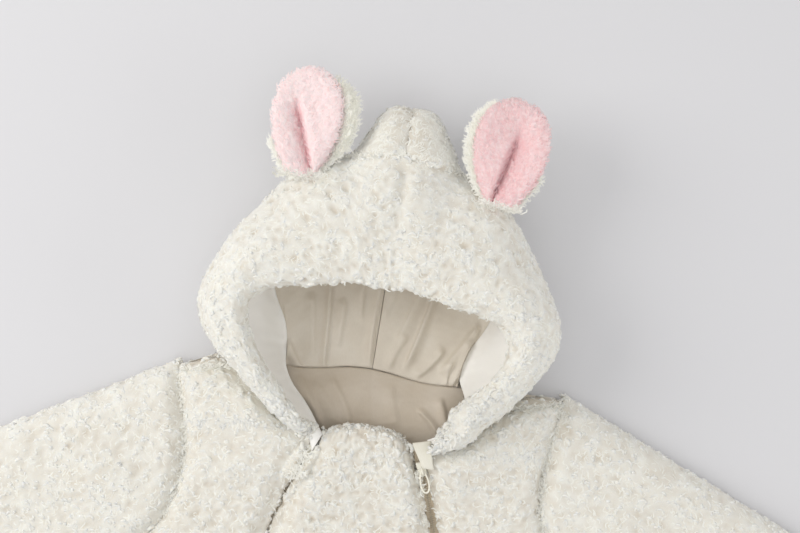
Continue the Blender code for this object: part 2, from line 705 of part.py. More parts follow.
def add_tab():
    """Ribbon folded over the zip's top end, from the neck seam to the slider."""
    rows = np.linspace(*TAB_ROWS, 4)
    center = across(ZIP, rows)[:, None] + TAB_ASIDE
    x = center + np.array([-TAB_HALF, 0, TAB_HALF])
    y = np.broadcast_to(rows[:, None], x.shape)
    height = front_top(x[:, -1] + 3, rows).max() + 1.2
    low = np.stack([x, y, np.full(x.shape, height)], -1)
    wall("zip_tab", cells(grid_index(*x.shape)), low + (0, 0, TAB_THICK), low, "facing")


def main():
    for old in list(bpy.data.objects):
        bpy.data.objects.remove(old)
    add_back()
    add_front_center()
    add_band()
    add_facing()
    add_back_neck_lining()
    add_tab()
    for word, side in (("right", 1), ("left", -1)):
        add_front_side(f"front_{word}", side)
        add_sleeve(f"sleeve_{word}", side)
        add_crown(f"hood_crown_{word}", side)
        add_lining(f"hood_lining_{word}", side)
        add_ear(f"ear_{word}", side)
        add_tapes(f"zip_{word}", side)
        add_slider(f"zip_{word}_slider", side)
        add_pull(f"zip_{word}_pull", side)


main()
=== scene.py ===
# %% [markdown]
# # A baby's hooded snowsuit of curly fleece, laid on its back
#
# The real suit is sewn from panels of sherpa fleece, a knitted cloth with a pile of short curled
# locks. It has a round hood with a smooth lining, two plush ears and two zips that run from the
# neck to the ankles. This script gives each sewn piece its surface: the shape of the cloth comes
# from formulas on a grid, the curls are pressed into that grid and laid on top of it, and small
# node materials do what is finer than a curl.
#
# The solids that the suit is measured by are loaded first. They never move: each piece below
# takes the place of one of them, except the zips' coils, which are added, and the two sliders,
# which are shown as they are.

# %% The frame
import math

import bpy
import numpy as np
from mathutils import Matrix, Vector


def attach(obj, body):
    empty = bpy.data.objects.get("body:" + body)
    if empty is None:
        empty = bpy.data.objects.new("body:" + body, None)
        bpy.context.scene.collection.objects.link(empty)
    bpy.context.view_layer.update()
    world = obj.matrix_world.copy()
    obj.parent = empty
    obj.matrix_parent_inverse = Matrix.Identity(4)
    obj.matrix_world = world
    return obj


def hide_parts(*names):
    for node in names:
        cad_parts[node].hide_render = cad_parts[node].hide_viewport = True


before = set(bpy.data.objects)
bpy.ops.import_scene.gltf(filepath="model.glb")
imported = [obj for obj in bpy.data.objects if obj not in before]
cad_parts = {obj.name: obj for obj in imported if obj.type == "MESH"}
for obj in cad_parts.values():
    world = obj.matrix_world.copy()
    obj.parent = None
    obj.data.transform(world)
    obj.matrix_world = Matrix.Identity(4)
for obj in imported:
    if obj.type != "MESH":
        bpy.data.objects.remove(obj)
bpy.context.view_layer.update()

MM = 0.001
print("solids loaded:", len(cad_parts))

# %% [markdown]
# ## Units and places
#
# A pattern cutter works in millimetres, so every size here is in millimetres and is measured from
# the middle of the nape seam, where the back of the hood meets the back of the suit: x to the
# side, y toward the top of the head, z up from the table. `placed` turns such points into the
# frame's metres. A suit that is put down by hand never lies quite straight, so `settle` turns
# the hood and the middle of the front a little.

# %% Places
NAPE_Y = 209.8  # mm from the frame's middle to the nape seam
HOOD_TURN = math.radians(3.7)
FRONT_SLIDE = 5.0  # mm


def smooth(start, end, value):
    """0 before start, 1 after end, and 3t^2 - 2t^3 between."""
    t = np.clip((np.asarray(value, float) - start) / (end - start), 0, 1)
    return t * t * (3 - 2 * t)


def hump(value, width):
    """exp(-(value / width)^2): 1 at 0, and nearly 0 from twice the width."""
    return np.exp(-((value / width) ** 2))


def xyz(x, y, z):
    """Points from their three coordinates."""
    return np.stack([x, y, z], -1)


def settle(points):
    """Clockwise turn about the nape that fades toward the shoulders and the waist, and a slide."""
    x, y, z = points[..., 0], points[..., 1], points[..., 2]
    beside = smooth(95, 150, np.abs(x)) * (1 - smooth(-10, 40, y))
    reach = smooth(-300, -60, y) * (1 - beside)
    turn = HOOD_TURN * reach
    slide = FRONT_SLIDE * reach * smooth(0, 40, -y)
    turned_x = x * np.cos(turn) + y * np.sin(turn) + slide
    turned_y = y * np.cos(turn) - x * np.sin(turn)
    return xyz(turned_x, turned_y, z)


def placed(points):
    """Settled points, in the frame's metres."""
    return (settle(np.asarray(points, float)) + (0, NAPE_Y, 0)) * MM


# %% [markdown]
# ## Camera, table and light
#
# The suit is seen from straight above, from a little over a metre, so the camera needs no shift
# and no tilt: only its place, the lens, and which way is up in the picture. The table is a plain
# pale sheet. One wide soft light stands to the left and makes the shadow on the right of the
# hood, and weaker ones keep the shadows open, as white walls do in a studio.

# %% Camera
EYE = Vector((0.0138, 0.2904, 1.30))
PICTURE_UP = Vector((-0.0924, 0.9957, 0.0))
LENS, SENSOR = 76.2, 36.0  # mm

camera = bpy.data.objects.new("camera", bpy.data.cameras.new("camera"))
bpy.context.collection.objects.link(camera)
camera.data.lens = LENS
camera.data.sensor_width = SENSOR
camera.location = EYE
camera.rotation_euler = (0, 0, math.atan2(-PICTURE_UP.x, PICTURE_UP.y))
bpy.context.scene.camera = camera
print("camera height", round(EYE.z, 3), "m, field", round(EYE.z * SENSOR / LENS, 3), "m wide")


# %% Colours and nodes
def linear(hex_colour):
    """An sRGB hex colour as the linear values that a shader takes."""
    values = [int(hex_colour[i:i + 2], 16) / 255 for i in (0, 2, 4)]
    curve = [v / 12.92 if v <= 0.04045 else ((v + 0.055) / 1.055) ** 2.4 for v in values]
    return (*curve, 1.0)


def node(tree, kind, links=None, **settings):
    """Adds one node: settings with a capital or a number set inputs, others set properties, and
    links gives input: output pairs."""
    made = tree.nodes.new(kind)
    for name, value in settings.items():
        if name[0].isupper():
            made.inputs[name.replace("_", " ")].default_value = value
        else:
            setattr(made, name, value)
    for socket, source in (links or {}).items():
        tree.links.new(source, made.inputs[socket])
    return made


def new_material(name, **shader_settings):
    """A material with a Principled shader, whose sockets take the settings."""
    made = bpy.data.materials.new(name)
    made.use_nodes = True
    shader = made.node_tree.nodes["Principled BSDF"]
    for socket, value in shader_settings.items():
        shader.inputs[socket.replace("_", " ")].default_value = value
    return made, made.node_tree, shader


def place_on(tree, kind="Object"):
    """Where a shaded point is: in metres on its object, or with kind UV in metres on its cloth."""
    return node(tree, "ShaderNodeTexCoord").outputs[kind]


def noise(tree, place, pace, **settings):
    """Cloudy values round 0.5 that change about pace times in a metre."""
    return node(tree, "ShaderNodeTexNoise", {"Vector": place}, Scale=pace, **settings).outputs["Fac"]


def mapped(tree, value, low, high, to_low=0.0, to_high=1.0):
    """The value on a straight line from to_low at low to to_high at high."""
    made = node(tree, "ShaderNodeMapRange", {"Value": value}, From_Min=low, From_Max=high,
                To_Min=to_low, To_Max=to_high)
    return made.outputs[0]


def both(tree, operation, first, second):
    """Sum or product of two values."""
    return node(tree, "ShaderNodeMath", {0: first, 1: second}, operation=operation).outputs[0]


def colour_by(tree, shader, value, stops):
    """The base colour from a value: straight steps between (value, hex colour) stops."""
    ramp = node(tree, "ShaderNodeValToRGB", {"Fac": value})
    elements = ramp.color_ramp.elements
    for position, _ in stops[1:-1]:
        elements.new(position)
    for element, (position, colour) in zip(elements, stops):
        element.position, element.color = position, linear(colour)
    tree.links.new(ramp.outputs["Color"], shader.inputs["Base Color"])


def bump_by(tree, shader, value, strength, distance):
    """Bump in the shading from a value that stands for heights up to distance, in metres."""
    bump = node(tree, "ShaderNodeBump", {"Height": value}, Strength=strength, Distance=distance)
    tree.links.new(bump.outputs["Normal"], shader.inputs["Normal"])


# %% Table
TABLE_COLOUR, TABLE_HALF = "DDDDE0", 4.0  # m

floor_mesh = bpy.data.meshes.new("table")
table_corners = [(x * TABLE_HALF, y * TABLE_HALF, 0) for x, y in ((-1, -1), (1, -1), (1, 1), (-1, 1))]
floor_mesh.from_pydata(table_corners, [], [(0, 1, 2, 3)])
floor = bpy.data.objects.new("table", floor_mesh)
bpy.context.collection.objects.link(floor)
matte_paper, tree, shader = new_material(
    "matte_paper_table", Roughness=0.9, Base_Color=linear(TABLE_COLOUR))
bump_by(tree, shader, noise(tree, place_on(tree), 900.0, Detail=2.0), 0.1, 0.0002)
floor_mesh.materials.append(matte_paper)

# %% Light
LIGHTS = [  # name, place and aim in metres, side in metres, watts, colour
    ("window", (-1.55, 0.5, 1.2), (0.0, 0.22, 0.0), 1.3, 17.8, "FFFDFA"),
    ("ceiling", (0.1, 0.2, 2.6), (0.0, 0.2, 0.0), 2.6, 9.8, "FFFFFF"),
    ("reflector", (0.4, -1.5, 0.6), (0.0, 0.15, 0.0), 1.2, 1.9, "FFFDFA"),
    ("white_wall", (1.7, 0.1, 0.6), (0.0, 0.2, 0.0), 1.2, 5.4, "FFFFFF"),
]
ROOM_COLOUR, ROOM_STRENGTH = "FAF9F8", 0.62  # what comes from every side

for name, place, aim, size, watts, colour in LIGHTS:
    lamp = bpy.data.lights.new(name, "AREA")
    lamp.shape = "SQUARE"
    lamp.size = size
    lamp.energy = watts
    lamp.color = linear(colour)[:3]
    holder = bpy.data.objects.new(name, lamp)
    holder.location = place
    holder.rotation_euler = (Vector(aim) - Vector(place)).to_track_quat("-Z", "Y").to_euler()
    bpy.context.collection.objects.link(holder)

world = bpy.data.worlds.new("studio")
world.use_nodes = True
background = world.node_tree.nodes["Background"]
background.inputs["Color"].default_value = linear(ROOM_COLOUR)
background.inputs["Strength"].default_value = ROOM_STRENGTH
bpy.context.scene.world = world
bpy.context.scene.view_settings.view_transform = "Standard"
print("lights:", ", ".join(light[0] for light in LIGHTS))

# %% [markdown]
# ## The curly pile
#
# Sherpa fleece is a knit whose pile is brushed, washed and tumbled until it draws up into small
# locks, each a few millimetres long and curled like a comma. It could be made of hair, but hair
# needs a simulation and doesn't export. A noise texture gives lumps and not curls. Here each
# curl is an arc of a circle with its own bend, length and thickness, lying on the cloth. The
# cloth's grid is lifted to the highest curl at each point, which gives the dense bed, and some of
# the same arcs are laid on top as real little tubes, which gives the outline and the deep gaps.

# %% Grid tools
def unit(vectors):
    """Each vector divided by its length."""
    return vectors / np.maximum(np.linalg.norm(vectors, axis=-1, keepdims=True), 1e-9)


def grid_normals(grid):
    """The unit normal at each point of a grid of points: row step times column step."""
    down = np.gradient(grid, axis=0)
    along = np.gradient(grid, axis=1)
    return unit(np.cross(down, along))


def at(grid, row, column):
    """The value between grid points, in proportion to how near the four neighbours are."""
    top, left = np.floor(row).astype(int), np.floor(column).astype(int)
    top = np.clip(top, 0, grid.shape[0] - 2)
    left = np.clip(left, 0, grid.shape[1] - 2)
    down, right = row - top, column - left
    if grid.ndim == 3:
        down, right = down[:, None], right[:, None]
    upper = grid[top, left] * (1 - right) + grid[top, left + 1] * right
    lower = grid[top + 1, left] * (1 - right) + grid[top + 1, left + 1] * right
    return upper * (1 - down) + lower * down


def scattered(grid, spacing, random):
    """Places on a grid, about spacing mm apart: one in each stretch of each band of rows, moved
    at random within it. Gives fractional row and column numbers."""
    down = np.linalg.norm(np.diff(grid, axis=0), axis=-1)
    depth = np.append(0, np.cumsum(down[:, down.sum(0).argmax()]))
    rows, columns = [], []
    for band in np.arange(0.5, depth[-1] / spacing):
        row = np.interp(band * spacing, depth, np.arange(len(depth)))
        line = grid[int(round(row))]
        length = np.append(0, np.cumsum(np.linalg.norm(np.diff(line, axis=0), axis=1)))
        count = int(length[-1] / spacing)
        if count < 1:
            continue
        place = (np.arange(count) + 0.5 + random.uniform(-0.5, 0.5, count)) * spacing
        columns.append(np.interp(place, length, np.arange(len(length))))
        shift = random.uniform(-0.5, 0.5, count) * spacing
        rows.append(np.interp(band * spacing + shift, depth, np.arange(len(depth))))
    return np.concatenate(rows), np.concatenate(columns)


def sprinkled(grid, spacing, random):
    """Random places on a grid, one to each square of spacing mm on average, by area."""
    sides = grid[1:, :-1] - grid[:-1, :-1], grid[:-1, 1:] - grid[:-1, :-1]
    area = np.linalg.norm(np.cross(*sides), axis=-1).ravel()
    count = int(area.sum() / spacing**2)
    cell = np.searchsorted(np.cumsum(area) / area.sum(), random.uniform(0, 1, count))
    row, column = np.divmod(np.clip(cell, 0, len(area) - 1), grid.shape[1] - 1)
    return row + random.uniform(0, 1, count), column + random.uniform(0, 1, count)


# %% Curls
CURL_SPACING = 3.4  # mm between the middles of neighbouring curls
CURL_RANGES = {
    "bend": (1.4, 3.8),  # mm, radius of the arc
    "span": (1.2, 3.4),  # radians, length of the arc
    "thick": (1.2, 2.1),  # mm, radius of the lock
    "low": (-1.3, 0.1),  # mm, height of the lock's middle line over the cloth at its root
    "rise": (0.0, 0.8),  # mm more at its tip
}
CURL_REACH = 5  # grid steps from a curl's middle to the furthest point that it can cover
PILE_FLOOR = -0.9  # mm, the height where no curl lies


def curls_at(middle, out, random, nap_way=(0, 0, 0), combed=1.0):
    """Curls at the given places, each with its own sizes and axes; most set out along nap_way.
    Where the pile is combed, they are wider arcs and shorter turns."""
    count = len(middle)
    curls = {name: random.uniform(*CURL_RANGES[name], count) for name in CURL_RANGES}
    curls["bend"] *= combed
    curls["span"] /= combed**1.3
    side = unit(np.cross(out, random.normal(size=(count, 3)) + nap_way))
    curls.update(middle=middle, out=out, side=side, up=np.cross(out, side))
    return curls


def curls_on(grid, normals, seed, nap_way, combed):
    """Curls all over a grid of points."""
    random = np.random.default_rng(seed)
    row, column = scattered(grid, CURL_SPACING, random)
    curls = curls_at(at(grid, row, column), unit(at(normals, row, column)), random, nap_way, combed)
    return {**curls, "row": row, "column": column}


def picked(curls, keep):
    """Those curls that keep chooses."""
    return {name: values[keep] for name, values in curls.items()}


def windows(grid, row, column, reach):
    """Numbers of the grid's rows and columns within reach steps of each place."""
    step = np.arange(-reach, reach + 1)
    rows = np.round(row).astype(int)[:, None, None] + step[:, None]
    columns = np.round(column).astype(int)[:, None, None] + step
    rows, columns = np.clip(rows, 0, grid.shape[0] - 1), np.clip(columns, 0, grid.shape[1] - 1)
    return np.broadcast_arrays(rows, columns)


def softened(height):
    """Down and then along, each height becomes half of itself and a quarter of both neighbours;
    the outermost stay."""
    for _ in range(2):
        middle = 0.5 * height + 0.25 * (np.roll(height, 1, 0) + np.roll(height, -1, 0))
        middle[[0, -1]] = height[[0, -1]]
        height = middle.T
    return height


def pressed(grid, curls):
    """Height of the pile at each grid point: the highest curl over it. Near a curl's middle line
    the height is low + rise * t + sqrt(thick^2 - d^2), d the distance from the arc and t the
    share of the arc's length there."""
    rows, columns = windows(grid, curls["row"], curls["column"], CURL_REACH)
    away = grid[rows, columns] - curls["middle"][:, None, None]
    x = np.einsum("nijk,nk->nij", away, curls["side"])
    y = np.einsum("nijk,nk->nij", away, curls["up"])
    bend, span, thick, low, rise = (curls[name][:, None, None] for name in CURL_RANGES)
    turn = np.mod(np.arctan2(y, x), 2 * np.pi)
    beyond = np.where(turn > np.pi + span / 2, 0, span)
    on_arc = np.where(turn > span, beyond, turn)
    distance = np.hypot(x - bend * np.cos(on_arc), y - bend * np.sin(on_arc))
    body = np.sqrt(np.clip(thick**2 - distance**2, 0, None))
    lifted = np.where(distance < thick, low + rise * on_arc / span + body, PILE_FLOOR)
    height = np.full(grid.shape[:2], PILE_FLOOR)
    np.maximum.at(height, (rows, columns), lifted)
    return softened(height)


# %% Nubs
NUB_SPACING = 5.12  # mm; locks gather in nubs about this far apart
NUB_RADIUS = (3.0, 4.8)  # mm across the nap
NUB_LONG = 1.35  # times as long along it
NUB_HIGH = (0.55, 1.0)
NUB_REACH = 10  # grid steps


def nubs(grid, normals, nap_way, seed, combed):
    """Height of the nubs at each grid point, 0 to 1: the highest of many half ellipsoids, each
    stretched along the nap: sqrt(1 - (a/r)^2 - (b/(long r))^2)."""
    random = np.random.default_rng(seed + 300)
    row, column = scattered(grid, NUB_SPACING, random)
    middle, out = at(grid, row, column), unit(at(normals, row, column))
    way = np.asarray(nap_way, float) + random.normal(0, 0.6, (len(row), 3))
    way = unit(way - out * (way * out).sum(-1, keepdims=True))
    radius = random.uniform(*NUB_RADIUS, len(row))[:, None, None]
    rows, columns = windows(grid, row, column, NUB_REACH)
    away = grid[rows, columns] - middle[:, None, None]
    a = np.einsum("nijk,nk->nij", away, np.cross(out, way)) / radius
    b = np.einsum("nijk,nk->nij", away, way) / radius / NUB_LONG / combed**0.7
    high = random.uniform(*NUB_HIGH, len(row))[:, None, None]
    height = np.zeros(grid.shape[:2])
    np.maximum.at(height, (rows, columns), high * np.sqrt(np.clip(1 - a * a - b * b, 0, None)))
    return softened(height)


# %% Meshes
def add_mesh(name, points, faces, material, uv=None, pile=None):
    """A smooth mesh from points in metres and arrays of faces, with a UV map in metres and the height
    of the pile as attributes; the materials paint shade where the pile is low."""
    mesh = bpy.data.meshes.new(name)
    corners = np.concatenate([part.ravel() for part in faces])
    sizes = np.concatenate([np.full(len(part), part.shape[1]) for part in faces])
    mesh.vertices.add(len(points))
    mesh.vertices.foreach_set("co", np.ascontiguousarray(points, np.float32).ravel())
    mesh.loops.add(len(corners))
    mesh.loops.foreach_set("vertex_index", corners.astype(np.int32))
    mesh.polygons.add(len(sizes))
    mesh.polygons.foreach_set("loop_start", np.append(0, np.cumsum(sizes)[:-1]).astype(np.int32))
    mesh.polygons.foreach_set("use_smooth", np.ones(len(sizes), bool))
    mesh.update(calc_edges=True)
    if uv is not None:
        layer = mesh.uv_layers.new(name="cloth")
        layer.data.foreach_set("uv", uv[corners].astype(np.float32).ravel())
    if pile is not None:
        layer = mesh.attributes.new("pile", "FLOAT", "POINT")
        layer.data.foreach_set("value", pile.astype(np.float32).ravel())
    mesh.materials.append(material)
    made = bpy.data.objects.new(name, mesh)
    bpy.context.collection.objects.link(made)
    return made


RATIO = 5  # fine steps to one coarse step on a piece's hidden side
COARSE_SIDE = (slice(None, None, RATIO),) * 2  # the points of a fine grid that its coarse one has


def shares(count):
    """Shares from 0 to 1 in count coarse steps, with the fine ones between."""
    return np.linspace(0, 1, count * RATIO + 1)


def quads(index):
    """Faces between neighbouring rows and columns of point numbers."""
    return np.stack([index[:-1, :-1], index[1:, :-1], index[1:, 1:], index[:-1, 1:]], -1).reshape(-1, 4)


def ring(index):
    """The point numbers round a grid: down the first column, along the last row, and back."""
    return np.concatenate([index[:, 0], index[-1, 1:], index[-2::-1, -1], index[0, -2:0:-1]])


def leg_ring(index, middle, crotch):
    """The same round a grid that is parted below its crotch row, left of column middle: the way
    goes up one inner leg and down the other, and skips the doubled column above them."""
    return np.concatenate([
        index[:, 0], index[-1, 1:middle], index[-2:crotch - 1:-1, middle - 1],
        index[crotch + 1:, middle], index[-1, middle + 1:], index[-2::-1, -1],
        index[0, -2:middle - 1:-1], index[0, middle - 2:0:-1],
    ])


def grid_faces(rows, columns, start, crotch=None):
    """Quads and edge ring of a grid, which may part into two legs below its crotch row."""
    index = start + np.arange(rows * columns).reshape(rows, columns)
    if crotch is None:
        return quads(index), ring(index)
    middle = columns // 2
    index[:crotch + 1, middle] = index[:crotch + 1, middle - 1]
    faces = np.concatenate([quads(index[:, :middle]), quads(index[:, middle:])])
    return faces, leg_ring(index, middle, crotch)


def shell_faces(fine_shape, coarse_shape, crotch=None):
    """Faces of a closed solid between a fine grid and a coarse one under it, whose steps are
    RATIO fine steps. Along the edge each coarse step gets a fan of triangles."""
    start = fine_shape[0] * fine_shape[1]
    coarse_crotch = crotch if crotch is None else crotch // RATIO
    fine_faces, fine = grid_faces(*fine_shape, 0, crotch)
    coarse_faces, coarse = grid_faces(*coarse_shape, start, coarse_crotch)
    assert RATIO * len(coarse) == len(fine), "the grids' steps don't match"
    number = np.arange(len(fine))
    nearest = (number + RATIO - RATIO // 2) // RATIO % len(coarse)
    fans = xyz(np.roll(fine, -1), fine, coarse[nearest])
    halfway = fine[np.arange(len(coarse)) * RATIO + RATIO // 2]
    closing = xyz(coarse, np.roll(coarse, -1), halfway)
    return [fine_faces, coarse_faces[:, ::-1], fans, closing]


def outward(points, faces):
    """The faces, turned over if the volume inside comes out negative: the sum of the tetrahedra
    between the origin and the faces."""
    volume = 0.0
    for part in faces:
        for i in range(1, part.shape[1] - 1):
            a, b, c = (points[part[:, k]] for k in (0, i, i + 1))
            volume += np.einsum("ij,ij->", a, np.cross(b, c)) / 6
    return [part[:, ::-1] for part in faces] if volume < 0 else faces


def closed(seen, hidden, crotch=None):
    """Points and faces of the solid between a fine grid and a coarse one under it."""
    points = np.concatenate([seen.reshape(-1, 3), hidden.reshape(-1, 3)])
    return points, outward(points, shell_faces(seen.shape[:2], hidden.shape[:2], crotch))


# %% [markdown]
# ## How the cloth lies
#
# The suit lies on its back, so its panels are two soft layers on the table. Each panel could be
# simulated from a flat cut, but a padded fleece laid flat hardly hangs: its shape is its outline,
# a swell toward the middle and a dip along each seam. So the layers are heights over the table,
# worked out from the distance to the outline and to the seams.

# %% Curves
def through(value, stations, heights):
    """A smooth curve through (station, height) pairs: a cubic for each stretch, whose slope at a
    pair is that of the chord between its two neighbours."""
    slopes = np.gradient(heights, stations)
    value = np.clip(value, stations[0], stations[-1])
    i = np.clip(np.searchsorted(stations, value, side="right") - 1, 0, len(stations) - 2)
    width = stations[i + 1] - stations[i]
    t = (value - stations[i]) / width
    ends = heights[i] * (1 + 2 * t) * (1 - t) ** 2 + heights[i + 1] * t * t * (3 - 2 * t)
    return ends + width * t * (1 - t) * (slopes[i] * (1 - t) - slopes[i + 1] * t)


def across(line, y):
    """The x of an outline that runs downward, at each y."""
    return through(-np.asarray(y, float), -line[:, 1], line[:, 0])


def away_from(line, x, y):
    """How far each point is from a line of straight stretches."""
    starts, steps = line[:-1], np.diff(line, axis=0)
    away = np.stack([x, y], -1)[..., None, :] - starts
    t = np.clip((away * steps).sum(-1) / (steps**2).sum(-1), 0, 1)
    return np.sqrt(((away - t[..., None] * steps) ** 2).sum(-1)).min(-1)


def rounding(away, radius):
    """A quarter circle's height: 0 at an edge, 1 from radius inward."""
    return np.sqrt(1 - (1 - np.clip(away / radius, 0, 1)) ** 2)


def waves(x, y, length, seed):
    """Soft uneven waves between about -1 and 1: the sum of seven sines that run in random
    directions, over the root of seven."""
    random = np.random.default_rng(seed)
    way = random.uniform(0, np.pi, 7)
    phase = random.uniform(0, 2 * np.pi, 7)
    pace = 2 * np.pi / (length * random.uniform(0.7, 1.6, 7))
    sines = (np.sin(p * (x * np.cos(w) + y * np.sin(w)) + f) for w, f, p in zip(way, phase, pace))
    return sum(sines) / math.sqrt(7)


# %% Outlines of the right side
# mm, x to the side and y up from the nape
SHOULDER_NECK = (112.0, -2.0)
SHOULDER = (147.0, -9.0)
UNDERARM = (172.0, -152.0)
CUFF_TOP = (364.0, -116.0)
CUFF_BOTTOM = (330.0, -202.0)
CROTCH_Y = -425.0
HEM_Y = -640.0
ZIP_END_Y = -598.0
ZIP_HALF = 4.5  # half of the gap between the panels at a zip
SEAM = 0.5  # the gap at a seam
ARMHOLE = np.array([SHOULDER, (139, -40), (135, -68), (136, -92), (147, -124), UNDERARM], float)
SIDE = np.array([UNDERARM, (169, -230), (173, -330), (170, -450), (158, HEM_Y)], float)
ZIP = np.array(
    [(35, -44), (46, -73), (57, -104), (72, -160), (88, -250), (95, -350), (99, -450), (103, HEM_Y)],
    float,
)
INSEAM = np.array([(0, CROTCH_Y), (11, -434), (21, -455), (33, -500), (48, HEM_Y)], float)
BIB_TOP = np.array([(0, -38.5), (16, -40.5), (26, -44), (31, -48)], float)

# %% The hood by direction round the nape
# degrees from the right, then mm: radii from the nape of the rim and the outermost point, height,
# the band's thickness, degrees round the section to the cross seam, radii and height of the
# lining's bag, and the share of its section that is faced
HOOD_COLUMNS = (
    "angle", "rim", "out", "top", "wall", "seam", "bag_high", "bag_low", "bag_foot", "floor", "face",
)
HOOD_ROWS = np.array([
    (-49, 62, 71.0, 49, 3.2, 14, 61, 57, 54, 18.5, 0.97),
    (-32, 68, 83.0, 60, 5.0, -6, 66, 63, 58, 18.5, 0.97),
    (-15, 72, 93.0, 68, 7.0, -22, 72, 68, 63, 18.5, 0.97),
    (-4, 79, 108.0, 74, 9.0, -30, 78, 72, 65, 17.5, 0.97),
    (4, 87, 122.0, 78, 10.0, -31, 85, 76, 66, 12.2, 0.97),
    (14, 99, 137.5, 82, 11.0, -32, 96, 84, 69, 11.4, 0.97),
    (22, 105, 142.5, 84, 12.0, -32, 102, 92, 76, 11.4, 0.96),
    (30, 101, 143.5, 86, 12.0, -30, 106, 102, 85, 11.4, 0.80),
    (45, 83, 148.0, 88, 12.0, -25, 120, 126, 96, 11.4, 0.42),
    (60, 74, 158.0, 90, 12.0, -8, 132, 136, 101, 11.4, 0.30),
    (70, 71, 161.0, 90, 12.0, 8, 136, 138, 102, 11.4, 0.30),
    (76, 69, 163.0, 90, 12.0, 22, 138, 138, 102, 11.4, 0.30),
    (80, 68, 175.0, 90, 12.0, 42, 140, 138, 102, 11.4, 0.30),
    (84, 67, 193.0, 90, 12.0, 55, 142, 138, 102, 11.4, 0.30),
    (90, 66, 201.0, 90, 12.0, 59, 142, 138, 102, 11.4, 0.30),
], float)
HOOD = dict(zip(HOOD_COLUMNS, HOOD_ROWS.T))
RIM_TURN = 125.0  # degrees round a section, from its outermost point over the top to the rim
HOOD_END = -46.0  # degrees, the direction from the nape in which the hood ends


def hood_at(angle):
    """The hood's sizes in each direction, the left side as the right."""
    angle = np.asarray(angle, float)
    angle = np.where(angle > 90, 180 - angle, angle)
    return {name: through(angle, HOOD["angle"], column) for name, column in HOOD.items()}


NECK_ANGLES = np.radians(np.linspace(-1, HOOD_END, 12))
NECK_RADII = hood_at(np.degrees(NECK_ANGLES))["out"] + 0.6
NECK = np.stack([NECK_RADII * np.cos(NECK_ANGLES), NECK_RADII * np.sin(NECK_ANGLES)], -1)
EDGES = [
    np.array([SHOULDER_NECK, SHOULDER, CUFF_TOP]),
    np.concatenate([[CUFF_BOTTOM], SIDE]),
    INSEAM[::-1],
]
FRONT_NECK = np.concatenate([NECK, BIB_TOP[::-1]])
print("hood directions:", len(HOOD_ROWS), " neckline from x", NECK[0].round(1), "to", NECK[-1].round(1))

# %% Heights of the two layers
# mm
EDGE_LOW, EDGE_MID = 5.0, 9.0  # underside and middle of the folded outer edge
BACK_THICK, FRONT_THICK, EDGE_THICK = 15.0, 17.0, 2.0
LAYER_GAP = 1.3
NECK_LIFT, NECK_REACH = 11.0, 40.0
SEAM_DIP, SEAM_REACH = 0.5, 7.0  # share of the thickness, and mm to each side


def to_outline(x, y):
    """Distance to the nearest outer edge."""
    return np.min([away_from(edge, np.abs(x), y) for edge in EDGES], axis=0)


def back_low(x, y):
    """The back lies flat, and rounds up over 9 mm along the outline."""
    return EDGE_LOW * (1 - rounding(to_outline(x, y), 9))


def back_top(x, y):
    """The back's upper side swells over 30 mm from the outline, and dips at the nape seam."""
    nape = 5 * hump(y, 14) * (1 - smooth(90, 125, np.abs(x)))
    return EDGE_MID + (BACK_THICK - EDGE_MID) * rounding(to_outline(x, y), 30) - nape


def front_low(x, y):
    """The front's underside: a gap over the back, and lifted round the neck."""
    near_neck = hump(away_from(FRONT_NECK, np.abs(x), y), NECK_REACH)
    return back_top(x, y) + LAYER_GAP + NECK_LIFT * near_neck * smooth(0, 60, to_outline(x, y))


def front_top(x, y):
    """The front swells from the outline inward, each seam pulls it down, and it lies unevenly."""
    side = np.abs(x)
    inside = to_outline(x, y)
    swell = EDGE_THICK + (FRONT_THICK - EDGE_THICK) * rounding(inside, 24)
    seams = (away_from(ARMHOLE, side, y), np.clip(away_from(ZIP, side, y) - ZIP_HALF, 0, None),
             away_from(NECK, side, y))
    pull = np.max([hump(away, SEAM_REACH) for away in seams], axis=0)
    uneven = 1.3 * waves(x, y, 45, seed=4) * smooth(4, 30, inside) * (1 - pull)
    return front_low(x, y) + swell * (1 - SEAM_DIP * pull) + uneven


def over(x, y, height):
    """Points at x, y with the height there."""
    return xyz(x, y, height(x, y))


# %% [markdown]
# ### Fleece
#
# White polyester sherpa scatters light. The tips of the locks are a bright warm white, and the gaps
# between them are painted cream, as painted shade for the light that has passed through the pile
# several times there. The fibres in a lock are far finer than a millimetre; they give a soft sheen
# and a faint lengthwise grain. The height of the pile, which the mesh carries as an attribute,
# chooses the colour, so the painted shade falls where the pile is low.

# %% Fleece material
# the white of the tips, the painted shade of the gaps, and the fibres' low colour: painted shade at a
# lock's root and random tone in loose strands
TIP, PAINTED_GAP_SHADE, FIBRE_SHADE_AND_TONE = "F1F1EB", "D4CCBE", "E9E6DE"
BUNDLE_PACE = 1 / (2.6 * MM)


